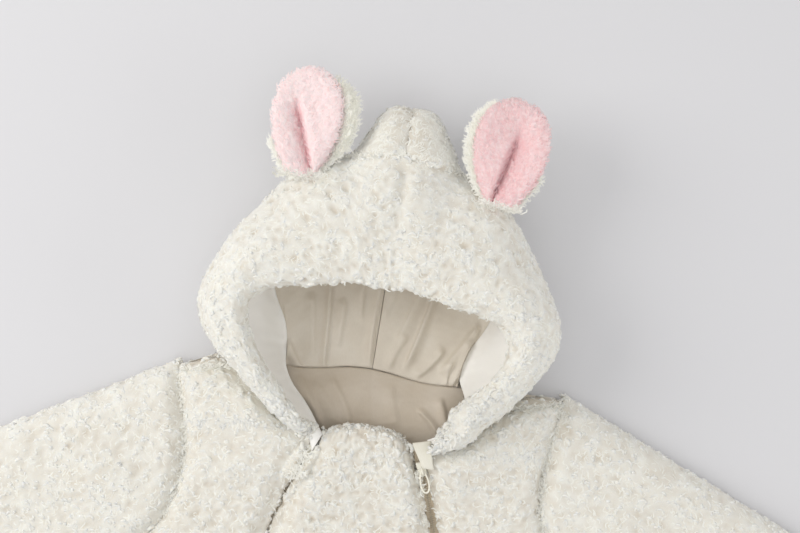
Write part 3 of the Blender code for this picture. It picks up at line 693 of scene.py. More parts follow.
def fleece_material(name, tip, shade_and_tone_colour, see_through):
    """Curled pile. The shade is the sum of the pile's height, which paints shade into the low places,
    a fine ridged noise for the bundles of fibre, about 1.5 mm apart, and wide soft blotches."""
    made, tree, shader = new_material(
        name, Roughness=0.92, Sheen_Weight=0.25, Sheen_Roughness=0.6, Subsurface_Weight=see_through,
        Subsurface_Radius=(1.0, 0.92, 0.8), Subsurface_Scale=0.0013)
    place = place_on(tree)
    # the pile attribute brings in painted shade: darker where the pile is low, at turned edges and over
    # the front pieces
    height = node(tree, "ShaderNodeAttribute", attribute_name="pile").outputs["Fac"]
    wool = noise(tree, place, BUNDLE_PACE, noise_type="RIDGED_MULTIFRACTAL", Detail=3.0, Roughness=0.65,
                 Distortion=1.5)
    fine = mapped(tree, wool, 0.0, 1.0, -0.16, 0.16)
    wide = mapped(tree, noise(tree, place, 60.0, Detail=2.0), 0.3, 0.7, -0.07, 0.07)
    shade = both(tree, "ADD", height, both(tree, "ADD", fine, wide))
    colour_by(tree, shader, shade, ((0.02, shade_and_tone_colour), (0.78, tip)))
    bump_by(tree, shader, wool, 0.55, 0.0006)
    return made


white_sherpa = fleece_material("white_sherpa_fleece", TIP, PAINTED_GAP_SHADE, see_through=0.35)
soft_lock = fleece_material("soft_sherpa_lock", TIP, FIBRE_SHADE_AND_TONE, see_through=0.5)
loose_fibre = fleece_material("loose_polyester_fibre", TIP, FIBRE_SHADE_AND_TONE, see_through=0.0)

# %% Locks
LOCK_RINGS = np.linspace(0, 1, 5)
LOCK_SIDES = 4
LOCK_TAPER = np.array([0.42, 0.9, 1.0, 0.88, 0.36])


def tube_faces(index):
    """Walls and end faces of tubes, from point numbers by tube, ring and place round the ring."""
    ahead = np.roll(index, -1, axis=2)
    walls = np.stack([index[:, 1:], ahead[:, 1:], ahead[:, :-1], index[:, :-1]], -1).reshape(-1, 4)
    return [walls, np.concatenate([index[:, 0], index[:, -1, ::-1]])]


def lock_tubes(curls, lift):
    """Points, faces and pile of closed tubes along the curls' arcs, thinner toward both ends, and with
    painted shade that darkens them toward the root."""
    middle, out, side, up = (curls[name][:, None, None] for name in ("middle", "out", "side", "up"))
    bend, span, thick, low, rise = (curls[name][:, None, None, None] for name in CURL_RANGES)
    share = LOCK_RINGS[:, None, None]
    radial = side * np.cos(span * share) + up * np.sin(span * share)
    around = (np.arange(LOCK_SIDES) / LOCK_SIDES * 2 * np.pi)[:, None]
    taper = LOCK_TAPER[:, None, None] * thick
    centre = middle + radial * bend + out * (low + rise * share + lift)
    points = centre + taper * (radial * np.cos(around) + out * np.sin(around))
    index = np.arange(points[..., 0].size).reshape(points.shape[:3])
    # painted shade: each lock darker toward its root
    pile = np.broadcast_to(0.4 + 0.6 * share, index.shape + (1,))
    return points.reshape(-1, 3), tube_faces(index), pile.ravel()


# %% Strands
STRAND_RINGS = np.linspace(0, 1, 5)
STRAND_RANGES = {
    "length": (2.5, 6.0),  # mm
    "wave": (0.4, 1.6),  # mm that it swings aside
    "turns": (0.4, 1.2),  # how many times it swings
    "rise": (0.1, 1.4),  # mm that its middle stands up
    "half": (0.3, 0.6),  # mm, half its width
}
STRAND_SHADES = (0.4, 1.0)


def strand_ribbons(base, out, nap_way, random, size=1.0, loose=1.0, stand=0.0):
    """Points, faces and pile of wavy ribbons that start at base, lie along nap_way as far as the
    cloth allows, and bow outward: aside wave * sin(turns * t), up rise * sin(0.8 pi t)."""
    count = len(base)
    length, wave, turns, rise, half = (
        random.uniform(*STRAND_RANGES[name], count)[:, None, None] for name in STRAND_RANGES)
    way = loose * random.normal(size=(count, 3)) + nap_way
    way = unit(unit(way - out * (way * out).sum(-1, keepdims=True)) + stand * out)
    side = unit(np.cross(out, way))[:, None]
    out, way, base = out[:, None], way[:, None], base[:, None]
    t = STRAND_RINGS[None, :, None]
    phase = random.uniform(0, 2 * np.pi, count)[:, None, None]
    swing = size * wave * (np.sin(2 * np.pi * turns * t + phase) - np.sin(phase))
    bow = size * rise * np.sin(0.8 * np.pi * t)
    line = base + size * length * t * way + swing * side + bow * out
    ahead = unit(np.gradient(line, axis=1))
    breadth = half * (1 - 0.75 * np.abs(2 * t - 0.9) ** 2.5) * unit(np.cross(out, ahead))
    points = np.stack([line - breadth, line + breadth], 2)
    index = np.arange(points[..., 0].size).reshape(points.shape[:3])
    near, far = index[:, :-1], index[:, 1:]
    faces = np.stack([near[..., 0], far[..., 0], far[..., 1], near[..., 1]], -1).reshape(-1, 4)
    shade = random.uniform(*STRAND_SHADES, count)[:, None, None] + 0 * points[..., 0]
    return points.reshape(-1, 3), [faces], shade.ravel()


def add_fur(name, parts, material, casts_shadow=False):
    """One object from several (points, list of faces, pile) parts."""
    starts = np.cumsum([0] + [len(points) for points, _, _ in parts])
    points, pile = (np.concatenate([part[i] for part in parts]) for i in (0, 2))
    faces = [face + start for (_, some, _), start in zip(parts, starts) for face in some]
    made = add_mesh(name, placed(points), faces, material, pile=pile)
    made.visible_shadow = casts_shadow  # single fibres let light through
    made.cycles.shadow_terminator_offset = 0.5  # the locks have few sides, but should look round
    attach(made, "suit")
    return made


# %% Pieces of fleece
PILE_LOW, PILE_HIGH = -1.0, 2.3  # mm, heights of the pile that show as the painted shade of the gaps and as the tip colour
CLOTH_UNDER_PILE = 1.0  # mm that the cloth lies under the height of the pile's middle
LOCK_SHARE = 0.27  # of the curls near the neck are modelled as locks
LOCK_LIFT = 0.2  # mm that they lie higher than the pressed ones
CURL_HEIGHT = 0.75  # how much of the curls' own height is left under the weight of the rest
NUB_SHADE = 0.45  # how much of the nubs' height shows in the colour, as painted shade between the nubs
SEAM_PAINTED_SHADE = 0.4  # how much of the pile's whiteness is taken away at a turned edge, as painted shade in the seam
EDGE_LOCK_THICK = 1.4
TABLE_CLEAR = 5  # mm above the table below which no fur is laid
FRONT_SHADED_TIP_SHARE = 0.88  # how white the front's tips are painted beside the hood's: painted shade that darkens the front


def near_edges(shape):
    """1 at a grid's edges, 0 from about two RATIOs inward."""
    rows, columns = (np.minimum(np.arange(count), count - 1 - np.arange(count)) for count in shape)
    return hump(np.minimum.outer(rows, columns), RATIO)


def edge_fibres(edge_fur, edge_locks, nap_way, random):
    """Strands at the given places, one to each that has a lock and three to the others, and the
    curls for the locks."""
    base, out = edge_fur
    strands = []
    for some, times in ((slice(0, edge_locks), 1), (slice(edge_locks, None), 3)):
        if len(base[some]):
            roots, ways = np.repeat(base[some], times, 0), np.repeat(out[some], times, 0)
            strands.append(strand_ribbons(roots, ways, nap_way, random, stand=0.2 * times))
    if not edge_locks:
        return strands, []
    locks = curls_at(base[:edge_locks], out[:edge_locks], random, nap_way)
    locks["thick"] *= EDGE_LOCK_THICK
    return strands, [lock_tubes(locks, 0.0)]


def add_fleece(name, skin, under, seed, crotch=None, coarse=COARSE_SIDE[1],
               strand_spacing=4.8, nap_way=(0, -1.0, 0), nub_height=1.6, edge_fur=None, edge_locks=0,
               under_pile=0.0, combed=1.0, shaded_tip_share=1.0):
    """A closed panel whose outer side carries the pile. skin is its fine grid in mm, and under its
    hidden one, below the fine rows of every RATIO and the fine columns of coarse. Below the crotch
    row it parts into two legs. edge_fur gives more places for fibres, with their directions, the
    first edge_locks of them for locks as well."""
    normals = grid_normals(skin)
    if ((skin[::RATIO, coarse] - under) * normals[::RATIO, coarse]).sum() < 0:
        normals = -normals
    middle = skin.shape[1] // 2

    def on_cloth(column):
        """Whether a place isn't in the doubled column between the legs."""
        return (column <= middle - 1) | (column >= middle) | (crotch is None)

    curls = curls_on(skin, normals, seed, nap_way, combed)
    curls = picked(curls, on_cloth(curls["column"]))
    nub = nubs(skin, normals, nap_way, seed, combed)
    curled = CURL_HEIGHT * pressed(skin, curls)
    height = curled + nub_height * (nub - 0.5)
    curls["rise"] = CURL_HEIGHT * curls["rise"]
    nub_there = at(nub, curls["row"], curls["column"])
    curls["low"] = CURL_HEIGHT * curls["low"] + nub_height * (nub_there - 0.5)
    lifted = skin + normals * (height - CLOTH_UNDER_PILE)[..., None]
    lifted[..., 2] = np.maximum(lifted[..., 2], 0)
    points, faces = closed(lifted, under, crotch)
    shaded = curled + NUB_SHADE * nub_height * (nub - 0.5)
    share = np.clip((shaded - PILE_LOW) / (PILE_HIGH - PILE_LOW), 0, 1)
    # painted shade: darker at the turned edges, and over the front pieces
    share = shaded_tip_share * share * (1 - SEAM_PAINTED_SHADE * near_edges(skin.shape[:2]))
    pile = np.append(share.ravel(), np.full(under[..., 0].size, under_pile))
    made = add_mesh(f"{name}_fleece", placed(points), faces, white_sherpa, pile=pile)
    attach(made, "suit")
    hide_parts(name)

    # the highest curls become locks, fewer of them further down
    random = np.random.default_rng(seed + 500)
    near = 0.2 + 0.8 * smooth(-260, -150, curls["middle"][:, 1])
    rank = np.argsort(np.argsort(curls["low"] + curls["rise"])) / len(curls["low"])
    clear = curls["middle"][:, 2] + 3 * curls["out"][:, 2] > TABLE_CLEAR
    chosen = (rank > 1 - LOCK_SHARE * near) & clear
    locks = [lock_tubes(picked(curls, chosen), LOCK_LIFT - CLOTH_UNDER_PILE)]
    strands = []
    if edge_fur is not None:
        strands, more = edge_fibres(edge_fur, edge_locks, nap_way, random)
        locks += more
    row, column = sprinkled(skin, strand_spacing, random)
    base, out = at(lifted, row, column), unit(at(normals, row, column))
    often = 0.15 + smooth(-250, -150, base[:, 1])
    shown = (out[:, 2] > -0.3) & (base[:, 2] > TABLE_CLEAR) & (random.uniform(0, 1, len(base)) < often)
    shown &= on_cloth(column)
    strands.append(strand_ribbons(base[shown], out[shown], nap_way, random, loose=1 / combed**2))
    fur = [add_fur(f"{name}_locks", locks, soft_lock, casts_shadow=True),
           add_fur(f"{name}_fibres", strands, loose_fibre)]


# %% [markdown]
# ## Body panels
#
# Each panel is cut from one piece of fleece and turned in at its seams, so its surface rolls over
# at every edge. A bevel modifier could round the edges, but it knows nothing of the pile. Here the
# grid of points itself goes round: a few stations lie on a quarter circle at each edge, where the
# height falls from the top of the cloth to its underside.

# %% Turned edges
FINE, COARSE = 1.1, 3.0  # mm between rows of points, near the neck and further down
NEAR_END = -140.0
ZIP_ROLL, SEAM_ROLL, HEM_ROLL = 3.5, 2.5, 5.0  # mm, radii of the turned edges
PILE_PAST_SEAM = 0.7  # mm that the pile leans over a seam from both sides
# mm that each panel's pile leans over a zip
PILE_OVER_ZIP = {"front_right": 0.9, "front_left": 3.85, "bib_right": 1.8, "bib_left": 3.85}

edge_turn = np.linspace(0, np.pi / 2, RATIO, endpoint=False)
INSET, RISE = 1 - np.cos(edge_turn), np.sin(edge_turn)


def between_edges(start, end, start_roll, end_roll, count):
    """Stations from edge to edge, RATIO of them round each turned edge and count * RATIO steps
    between, and how far the cloth has risen at each, 0 to 1."""
    start, end, start_roll, end_roll = (
        np.asarray(value, float)[..., None] for value in (start, end, start_roll, end_roll))
    way = np.sign(end - start)
    near, far = start + way * start_roll * INSET, end - way * end_roll * INSET[::-1]
    first, last = start + way * start_roll, end - way * end_roll
    even = first + (last - first) * shares(count)
    rise = np.concatenate([RISE, np.ones(count * RATIO + 1), RISE[::-1]])
    return np.concatenate([near, even, far], axis=-1), rise


def row_stations(stops, steps):
    """Rows through the stops, in whole RATIOs of about the given step in mm between each two."""
    rows = [np.array(stops[:1], float)]
    for begin, stop, step in zip(stops, stops[1:], steps):
        count = max(1, int(round(abs(begin - stop) / step / RATIO))) * RATIO
        rows.append(np.linspace(begin, stop, count + 1)[1:])
    return np.concatenate(rows)


def with_hem(rows):
    """The rows and RATIO more round the hem, and how far the cloth has risen at each."""
    rise = np.concatenate([np.ones(len(rows)), RISE[::-1]])
    return np.concatenate([rows, HEM_Y + HEM_ROLL * INSET[::-1]]), rise


def between_heights(x, y, rise, low, top):
    """Points over x, y that rise from near the cloth's one side at its edges to the other side."""
    bottom = low(x, y)
    return xyz(x, y, bottom + (top(x, y) - bottom) * (0.2 + 0.8 * rise))


def panel_layers(x, y, rise_down, rise_across, low, top, coarse):
    """A body panel's fine grid, which rises from low at its edges to top, and its coarse one."""
    skin = between_heights(x, y, np.minimum(rise_down[:, None], rise_across), low, top)
    return skin, over(x[::RATIO, coarse], y[::RATIO, coarse], low)


def body_edge(y):
    """x of the panels' outer edge: shoulder, then armhole, then side seam."""
    shoulder = np.interp(-y, [2, 9], [SHOULDER_NECK[0], SHOULDER[0]])
    upper = np.where(y > SHOULDER[1], shoulder, across(ARMHOLE, y)) + PILE_PAST_SEAM
    return np.where(y >= UNDERARM[1], upper, across(SIDE, y))


PILE_OVER_PULL = 42.0  # mm above the surface that the suit lies on
PULL_MIDDLE, PULL_REACH = -75.0, 14.0  # mm, where the hidden slider and pull are, and how far


def over_slider(y):
    """1 where the left slider and its pull lie hidden under the pile, 0 elsewhere."""
    return np.exp(-(((y - PULL_MIDDLE) / PULL_REACH) ** 4))


def pile_top(x, y):
    """The front's top, a little higher over the hidden slider."""
    beside = (x + across(ZIP, y)) / 9
    top = front_top(x, y)
    return top + np.maximum(PILE_OVER_PULL - top, 0) * over_slider(y) * np.exp(-(beside**4))


def zip_half(y, panel):
    """How far from a zip's middle the panel's pile ends; half a seam below the zip's end."""
    open_half = ZIP_HALF - PILE_OVER_ZIP[panel] + 0.5 * waves(y, 0 * y, 17, seed=len(panel))
    if panel.endswith("left"):
        open_half = open_half + (0.2 - open_half) * over_slider(y)
    return np.where(y > ZIP_END_Y - 3, open_half, SEAM / 2)


# %% Side fronts
SIDE_COLUMNS = 11
SEAM_TUFTS, NECK_TUFTS = 260, 70  # strands that stand up out of the armhole seam and the neckline
ROOT_DEPTH = 1.6  # mm from the top of the cloth down to their roots


def add_front_side(name, side, seed):
    """A side front: from the neck or the zip across to the armhole and the side seam."""
    rows = row_stations((-5.0, NEAR_END, HEM_Y + HEM_ROLL), (FINE, COARSE))
    y, rise_down = with_hem(rows)
    neck_x = np.interp(-y, -NECK[:, 1], NECK[:, 0])
    inner = np.where(y > NECK[-1, 1], neck_x, across(ZIP, y) + zip_half(y, name))
    outer = body_edge(y)
    rolls = (np.minimum(roll, 0.15 * (outer - inner)) for roll in (ZIP_ROLL, SEAM_ROLL))
    x, rise_across = between_edges(inner, outer, *rolls, SIDE_COLUMNS)
    x, y = side * x, np.broadcast_to(y[:, None], x.shape)
    skin, under = panel_layers(x, y, rise_down, rise_across, front_low, pile_top, COARSE_SIDE[1])

    random = np.random.default_rng(seed + 900)
    seam_y = random.uniform(UNDERARM[1], SHOULDER[1], SEAM_TUFTS)
    seam_x = side * (across(ARMHOLE, seam_y) + random.uniform(-1.5, 1.5, SEAM_TUFTS))
    seam = xyz(seam_x, seam_y, front_top(seam_x, seam_y) - ROOT_DEPTH)
    neck_column = random.uniform(0, skin.shape[1] - 1, NECK_TUFTS)
    neck = at(skin, np.full(NECK_TUFTS, 1.5 * RATIO), neck_column)
    way = np.repeat([[0, 0, 1.0], [0, 0.9, 0.6]], (SEAM_TUFTS, NECK_TUFTS), axis=0)
    up = unit(random.normal(0, 0.3, way.shape) + way)
    add_fleece(name, skin, under, seed, shaded_tip_share=FRONT_SHADED_TIP_SHARE,
               edge_fur=(np.concatenate([seam, neck]), up))


add_front_side("front_right", 1, 11)
add_front_side("front_left", -1, 12)


# %% Panels that span both legs
LEG_ROLL = 4.0  # mm


def both_legs(left, right, left_roll, right_roll, y, count):
    """x and rise of a panel whose two middle columns meet above the crotch and part along the
    inner legs below it, and which columns its coarse side has."""
    parted = across(INSEAM, y) * (y < CROTCH_Y)
    halves = []
    for edge, roll, sign in ((left, left_roll, -1), (right, right_roll, 1)):
        x, rise = between_edges(sign * parted, edge + 0 * y, LEG_ROLL, roll, count)
        leg = np.broadcast_to(rise, x.shape).copy()
        leg[y >= CROTCH_Y, :RATIO] = 1
        halves.append((x, leg))
    x, rise = (np.concatenate([halves[0][i][:, ::-1], halves[1][i]], axis=1) for i in (0, 1))
    middle = x.shape[1] // 2
    return x, rise, np.r_[0:middle:RATIO, middle:2 * middle:RATIO]


# %% Centre front
BIB_ROLL = 5.0  # mm
BIB_COLUMNS = 9
TOP_TUFTS, COVER_TUFTS = 80, 46  # locks along the top edge, strands over the left slider
RIGHT_TUFTS = [  # along the right zip: how many, y, how far left of the zip, height, in mm
    (60, (-150, -50), (5.5, 8.0), (25, 32)),
    (24, (-84, -68), (3.5, 6.5), (34, 37)),
]
TUFT_COUNTS = (TOP_TUFTS, COVER_TUFTS, *(row[0] for row in RIGHT_TUFTS))
TUFT_WAYS = [[0, 0.7, 0.7], [0, 0, 1.0], [0.8, 0, 0.6], [1.0, 0, 0.8]]


def bib_tufts(random):
    """Places of the fur along the centre front's edges, and the directions that it leans in."""
    x = random.uniform(-31, 31, TOP_TUFTS)
    y = BIB_TOP[0, 1] - 4.0 + np.interp(np.abs(x), BIB_TOP[:, 0], BIB_TOP[:, 1] - BIB_TOP[0, 1])
    places = [xyz(x, y, front_low(x, y) + random.uniform(3, 12, TOP_TUFTS))]
    y = random.uniform(-86, -64, COVER_TUFTS)
    x = random.uniform(-4.5, 4.5, COVER_TUFTS) - across(ZIP, y)
    places.append(xyz(x, y, pile_top(x, y) - 1.2))
    for count, rows, beside, heights in RIGHT_TUFTS:
        y = random.uniform(*rows, count)
        x = across(ZIP, y) - random.uniform(*beside, count)
        places.append(xyz(x, y, random.uniform(*heights, count)))
    way = np.repeat(TUFT_WAYS, TUFT_COUNTS, axis=0)
    return np.concatenate(places), unit(way + random.normal(0, 0.25, way.shape))


def add_front_center():
    """The centre front: a bib between the zips, and the inner legs below the crotch. Its top edge
    follows BIB_TOP, and the rows under it straighten out."""
    rows = row_stations((BIB_TOP[0, 1] - BIB_ROLL - 1.5, NEAR_END, CROTCH_Y, HEM_Y + HEM_ROLL),
                        (FINE, COARSE, COARSE))
    crotch = int(np.argmin(np.abs(rows - CROTCH_Y))) + RATIO
    rows, rise_down = with_hem(rows)
    y = np.concatenate([rows[0] + BIB_ROLL * (1 - INSET), rows])
    rise_down = np.concatenate([RISE, rise_down])
    left, right = -across(ZIP, y) + zip_half(y, "bib_left"), across(ZIP, y) - zip_half(y, "bib_right")
    x, rise_across, coarse = both_legs(left, right, ZIP_ROLL, ZIP_ROLL, y, BIB_COLUMNS)
    y = np.broadcast_to(y[:, None], x.shape).copy()
    neck_dip = np.interp(np.abs(x), BIB_TOP[:, 0], BIB_TOP[:, 1]) - BIB_TOP[0, 1]
    y += (neck_dip + 0.9 * waves(x, 0 * x, 14, seed=9)) * (1 - smooth(45, 110, -y))
    skin, under = panel_layers(x, y, rise_down, rise_across, front_low, pile_top, coarse)
    add_fleece("front_center", skin, under, 13, crotch=crotch, coarse=coarse,
               nub_height=2.3, nap_way=(0, -0.5, 0), shaded_tip_share=FRONT_SHADED_TIP_SHARE,
               edge_fur=bib_tufts(np.random.default_rng(913)), edge_locks=TOP_TUFTS)


add_front_center()


# %% Back
BACK_STEP = 4.0  # mm: only its outer edge shows, and the rest is pressed flat by the table
BACK_COLUMNS = 10


def add_back():
    """The back with both leg backs, its pile downward."""
    rows = row_stations((-0.3, UNDERARM[1], CROTCH_Y, HEM_Y + HEM_ROLL), (BACK_STEP,) * 3)
    crotch = int(np.argmin(np.abs(rows - CROTCH_Y)))
    y, rise_down = with_hem(rows)
    edge = body_edge(y) - 4 * smooth(-5, 0, y)
    x, rise_across, coarse = both_legs(-edge, edge, LEG_ROLL, LEG_ROLL, y, BACK_COLUMNS)
    y = np.broadcast_to(y[:, None], x.shape)
    skin, under = panel_layers(x, y, rise_down, rise_across, back_top, back_low, coarse)
    add_fleece("back", skin, under, 14, crotch=crotch, coarse=coarse)


add_back()

# %% [markdown]
# ### Sleeves
#
# A sleeve is one piece of fleece, folded round and sewn along the underarm. Laid down, it is a flat
# tube: two layers with a soft fold at each side. It could be a cylinder that is squeezed, but then
# its folds would have no thickness. Instead the grid goes once round the flat tube, from the
# underarm seam over the top to the upper fold and back beneath, with a half circle at each fold.

# %% Sleeves
FOLD_OUT = 3.6  # mm that a fold stands out past the flat layers
SLEEVE_LENGTH, CUFF_ROLL, SLEEVE_ROWS = 215.0, 4.0, 24
UPPER_WAY, LOWER_WAY = np.array([29.0, 60.0]), np.array([-20.0, -60.0])  # outward at the folds
TOP_STEPS, LOW_STEPS = 17 * RATIO, 5 * RATIO  # across the top, and from the upper fold beneath


def sleeve_plan(share, along):
    """x, y on straight lines from the armhole to the cuff; share 0 is the upper fold, 1 the lower."""
    y = SHOULDER[1] + share * (UNDERARM[1] - SHOULDER[1])
    start = np.stack([across(ARMHOLE, y) - PILE_PAST_SEAM, y], -1)
    end = np.array(CUFF_TOP) + share[..., None] * np.subtract(CUFF_BOTTOM, CUFF_TOP)
    end[..., 0] += 3 * np.sin(np.pi * share)
    return start * (1 - along[..., None]) + end * along[..., None]


def sleeve_round():
    """Once round the flat tube: where each point lies between the folds, and which way it faces
    there, from 90 degrees on the top layer to -90 on the lower one."""
    up, rest = np.pi / 2, np.ones(RATIO)
    lower_fold = np.linspace(0, up, RATIO, endpoint=False)
    upper_fold = np.linspace(up, -up, 2 * RATIO + 1)
    share = np.concatenate([rest, np.linspace(1, 0, TOP_STEPS, endpoint=False), np.zeros(2 * RATIO + 1),
                            np.linspace(0, 1, LOW_STEPS + 1)[1:], rest])
    turn = np.concatenate([lower_fold, np.full(TOP_STEPS, up), upper_fold, np.full(LOW_STEPS, -up),
                           np.linspace(-up, 0, RATIO + 1)[1:]])
    return share, turn


def add_sleeve(name, side, seed):
    """A flat tube from the armhole to the cuff: the layers' heights, joined by half circles."""
    share, turn = sleeve_round()
    stations, rise_along = between_edges(0.0, SLEEVE_LENGTH, SEAM_ROLL, CUFF_ROLL, SLEEVE_ROWS)
    along = (stations / SLEEVE_LENGTH)[:, None] + 0 * share
    share, turn = share + 0 * along, turn + 0 * along
    plan = sleeve_plan(share, along)
    x, y = plan[..., 0], plan[..., 1]
    weight = 0.5 + 0.5 * np.sin(turn)
    outer_z, inner_z = (low + (high - low) * weight for low, high in (
        (back_low(x, y), front_top(x, y)), (back_top(x, y), front_low(x, y))))
    way = np.where(share[..., None] < 0.5, unit(UPPER_WAY), unit(LOWER_WAY))
    near_fold = np.exp(-to_outline(x, y) / 8) * (0.8 + 0.2 * np.cos(turn))
    plan = plan + way * (FOLD_OUT * near_fold)[..., None]
    rise = (0.25 + 0.75 * rise_along)[:, None]
    skin = xyz(side * plan[..., 0], plan[..., 1], inner_z + (outer_z - inner_z) * rise)
    plan = sleeve_plan(0.07 + 0.86 * share[COARSE_SIDE], along[COARSE_SIDE])
    x, y = plan[..., 0], plan[..., 1]
    height = back_top(x, y) + (front_low(x, y) - back_top(x, y)) * weight[COARSE_SIDE]
    under = xyz(side * x, y, height)
    add_fleece(name, skin, under, seed, nap_way=(0, -1.6, 0), combed=1.05)


add_sleeve("sleeve_right", 1, 15)
add_sleeve("sleeve_left", -1, 16)


# %% [markdown]
# ### Hood
#
# The hood is a padded roll that stands on the table round the wearer's head: one long band from
# neck to neck over the brow, and a crown in two halves behind it. In each direction from the nape
# its section is an ellipse. The band ends in a thick soft edge at the face opening, so its
# section goes on round a half circle there.

# %% Hood shell
def hood_reach(size):
    """Half the width of the section's ellipse, from its two ends: (out - rim) / (1 - cos RIM_TURN)."""
    return (size["out"] - size["rim"]) / (1 - math.cos(math.radians(RIM_TURN)))


def round_nape(angle, radius, height):
    """Points in the given directions from the nape."""
    way = np.radians(np.broadcast_to(angle, radius.shape))
    return xyz(radius * np.cos(way), radius * np.sin(way), height)


def hood_shell(angle, turn, depth):
    """A point of the hood's section: an ellipse that stands on the table, from the rim at
    RIM_TURN over the top (90) and the silhouette (0) to the table (-90), depth inside the fur."""
    size = hood_at(angle)
    reach, half = hood_reach(size), size["top"] / 2
    radius = size["out"] - reach + (reach - depth) * np.cos(np.radians(turn))
    return round_nape(angle, radius, half + (half - depth) * np.sin(np.radians(turn)))


def band_folds(angle, turn):
    """How far the band's cloth is pulled in: a crease from the cross seam toward the brow, and
    soft waves all along."""
    crease = 4.5 * hump(angle - 91 + 0.02 * turn, 1.8) * smooth(104, 62, turn)
    pleats = 1.5 * waves(angle * 2.2, turn * 0.9, 55, seed=22)
    return crease + pleats


# %% Where the ears stand
EAR_LENGTH, EAR_HALF = 83.0, 27.5  # mm
EAR_CENTER = (75.0, 176.0)
EAR_BASE_Z, EAR_TIP_Z = 74.0, 58.0
EAR_LEAN = 3.0  # degrees outward
EAR_OUTLINE = np.array([  # share of the length from the base, share of the greatest half width
    (0.0, 0.34), (0.1, 0.56), (0.25, 0.80), (0.45, 0.97), (0.62, 1.0), (0.78, 0.90), (0.9, 0.66),
    (0.97, 0.38), (1.0, 0.14),
])


def ear_place(x, y, z, side):
    """Points of an ear's own plane, x across and y from its base, put where the ear stands."""
    lean = math.radians(-EAR_LEAN)
    y = y - EAR_LENGTH / 2
    spot_x = EAR_CENTER[0] + x * math.cos(lean) - y * math.sin(lean)
    spot_y = EAR_CENTER[1] + x * math.sin(lean) + y * math.cos(lean)
    return xyz(side * spot_x, spot_y, z + 0 * spot_x)


def ear_middle(x, along):
    """Height of the seam between front and back: cupped across, sinking toward the tip."""
    return EAR_BASE_Z + (EAR_TIP_Z - EAR_BASE_Z) * along + 5 * (x / EAR_HALF) ** 2


def ear_foot(x, side):
    """Points along the ear's base, where it is sewn to the band."""
    return ear_place(x, 0.5 + 0 * x, ear_middle(x, 0.0) + 6.0 - 0.012 * x * x, side)


# %% Band
BAND_COLUMNS, BAND_ROWS = 92, 17
BAND_ROLL = 2.2  # degrees that the band turns in at the cross seam
SEAM_PULL = 2.4  # mm that a turned edge goes down at the cross seam
END_TUFTS, CORNER_TUFTS, FOOT_TUFTS = 130, 40, 170  # strands, with locks but for the ears' feet
CORNER = np.array([-46.0, -50.5, 35.0])  # mm, the band's left end


def band_rim(angle):
    """The turn at which the fur ends inside the hood: further in at the right neck, and drawn back
    at the very end, beside the ribbon tab."""
    end = 115 * (1 - smooth(HOOD_END, HOOD_END + 14, angle))
    return RIM_TURN + 48 * (1 - smooth(-22, 6, angle)) - end


def band_tufts(random):
    """Places of the fur at the band's ends and round the ears' feet, and its directions."""
    angle = random.uniform(HOOD_END + 0.5, HOOD_END + 40, END_TUFTS)
    turn = band_rim(angle) + random.uniform(-45, 0, END_TUFTS)
    end = hood_shell(angle, turn, random.uniform(1.0, 3.5, END_TUFTS))
    corner = CORNER + random.uniform(-4.5, 4.5, (CORNER_TUFTS, 3))
    right, left = np.split(random.uniform(-17, 17, FOOT_TUFTS), 2)
    foot = np.concatenate([ear_foot(right, 1), ear_foot(left, -1)])
    foot = foot + random.normal(0, 1.2, (FOOT_TUFTS, 3))
    up = np.repeat([[0, 0, 1.0], [0, 0.7, 1.0]], (CORNER_TUFTS, FOOT_TUFTS), axis=0)
    ways = np.concatenate([end * (-0.006, -0.006, 0) + (0, 0, 1.0), up])
    return np.concatenate([end, corner, foot]), unit(ways + random.normal(0, 0.2, ways.shape))


def add_band():
    """The band: from the lining over the rim, a half circle, and on to the cross seam."""
    angle, rise_along = between_edges(HOOD_END + 0.3, 179.7 - HOOD_END, 1.0, 1.0, BAND_COLUMNS)
    angle = angle[None, :]
    size = hood_at(angle)
    rim, seam = band_rim(angle), size["seam"] - 0.5
    share = shares(BAND_ROWS)[:, None]
    lip = np.linspace(np.pi, 0, 3 * RATIO, endpoint=False)[:, None]
    lip_out = np.degrees(0.42 * size["wall"] * np.sin(lip) / (0.5 * (size["out"] - size["rim"])))
    turn = np.concatenate([rim + lip_out, rim + (seam + BAND_ROLL - rim) * share,
                           seam + BAND_ROLL * INSET[::-1, None]])
    depth = np.concatenate([size["wall"] * (1 - np.cos(lip)) / 2, 0 * share + 0 * angle,
                            SEAM_PULL * (1 - RISE[::-1, None]) + 0 * angle])
    depth = depth + band_folds(angle, turn) * smooth(0, 30, rim - turn) * smooth(0, 12, turn - seam)
    skin = hood_shell(angle, turn, depth + 2.0 * (1 - rise_along))
    coarse_turn, coarse_angle = turn[COARSE_SIDE].copy(), angle[:, ::RATIO]
    coarse_turn[:3] = coarse_turn[3] - np.array([[0.3], [0.2], [0.1]])
    under = hood_shell(coarse_angle, coarse_turn, hood_at(coarse_angle)["wall"] + 0 * coarse_turn)
    add_fleece("hood_band", skin, under, 21,
               nap_way=(0, -0.5, 0), edge_fur=band_tufts(np.random.default_rng(922)),
               edge_locks=END_TUFTS + CORNER_TUFTS)


add_band()

# %% Hood crown
CROWN_THICK = 9.0  # mm
CROWN_COLUMNS, FLOOR_ROWS, CROWN_TUFTS = 27, 4, 90
MIDDLE_GAP, PILE_PAST_MIDDLE = 0.09, 0.4  # degrees: the cloth stops short, and its pile goes past
CROWN_BULGE = {1: 4.5, -1: 0.0}  # mm: the right half swells beside the ear


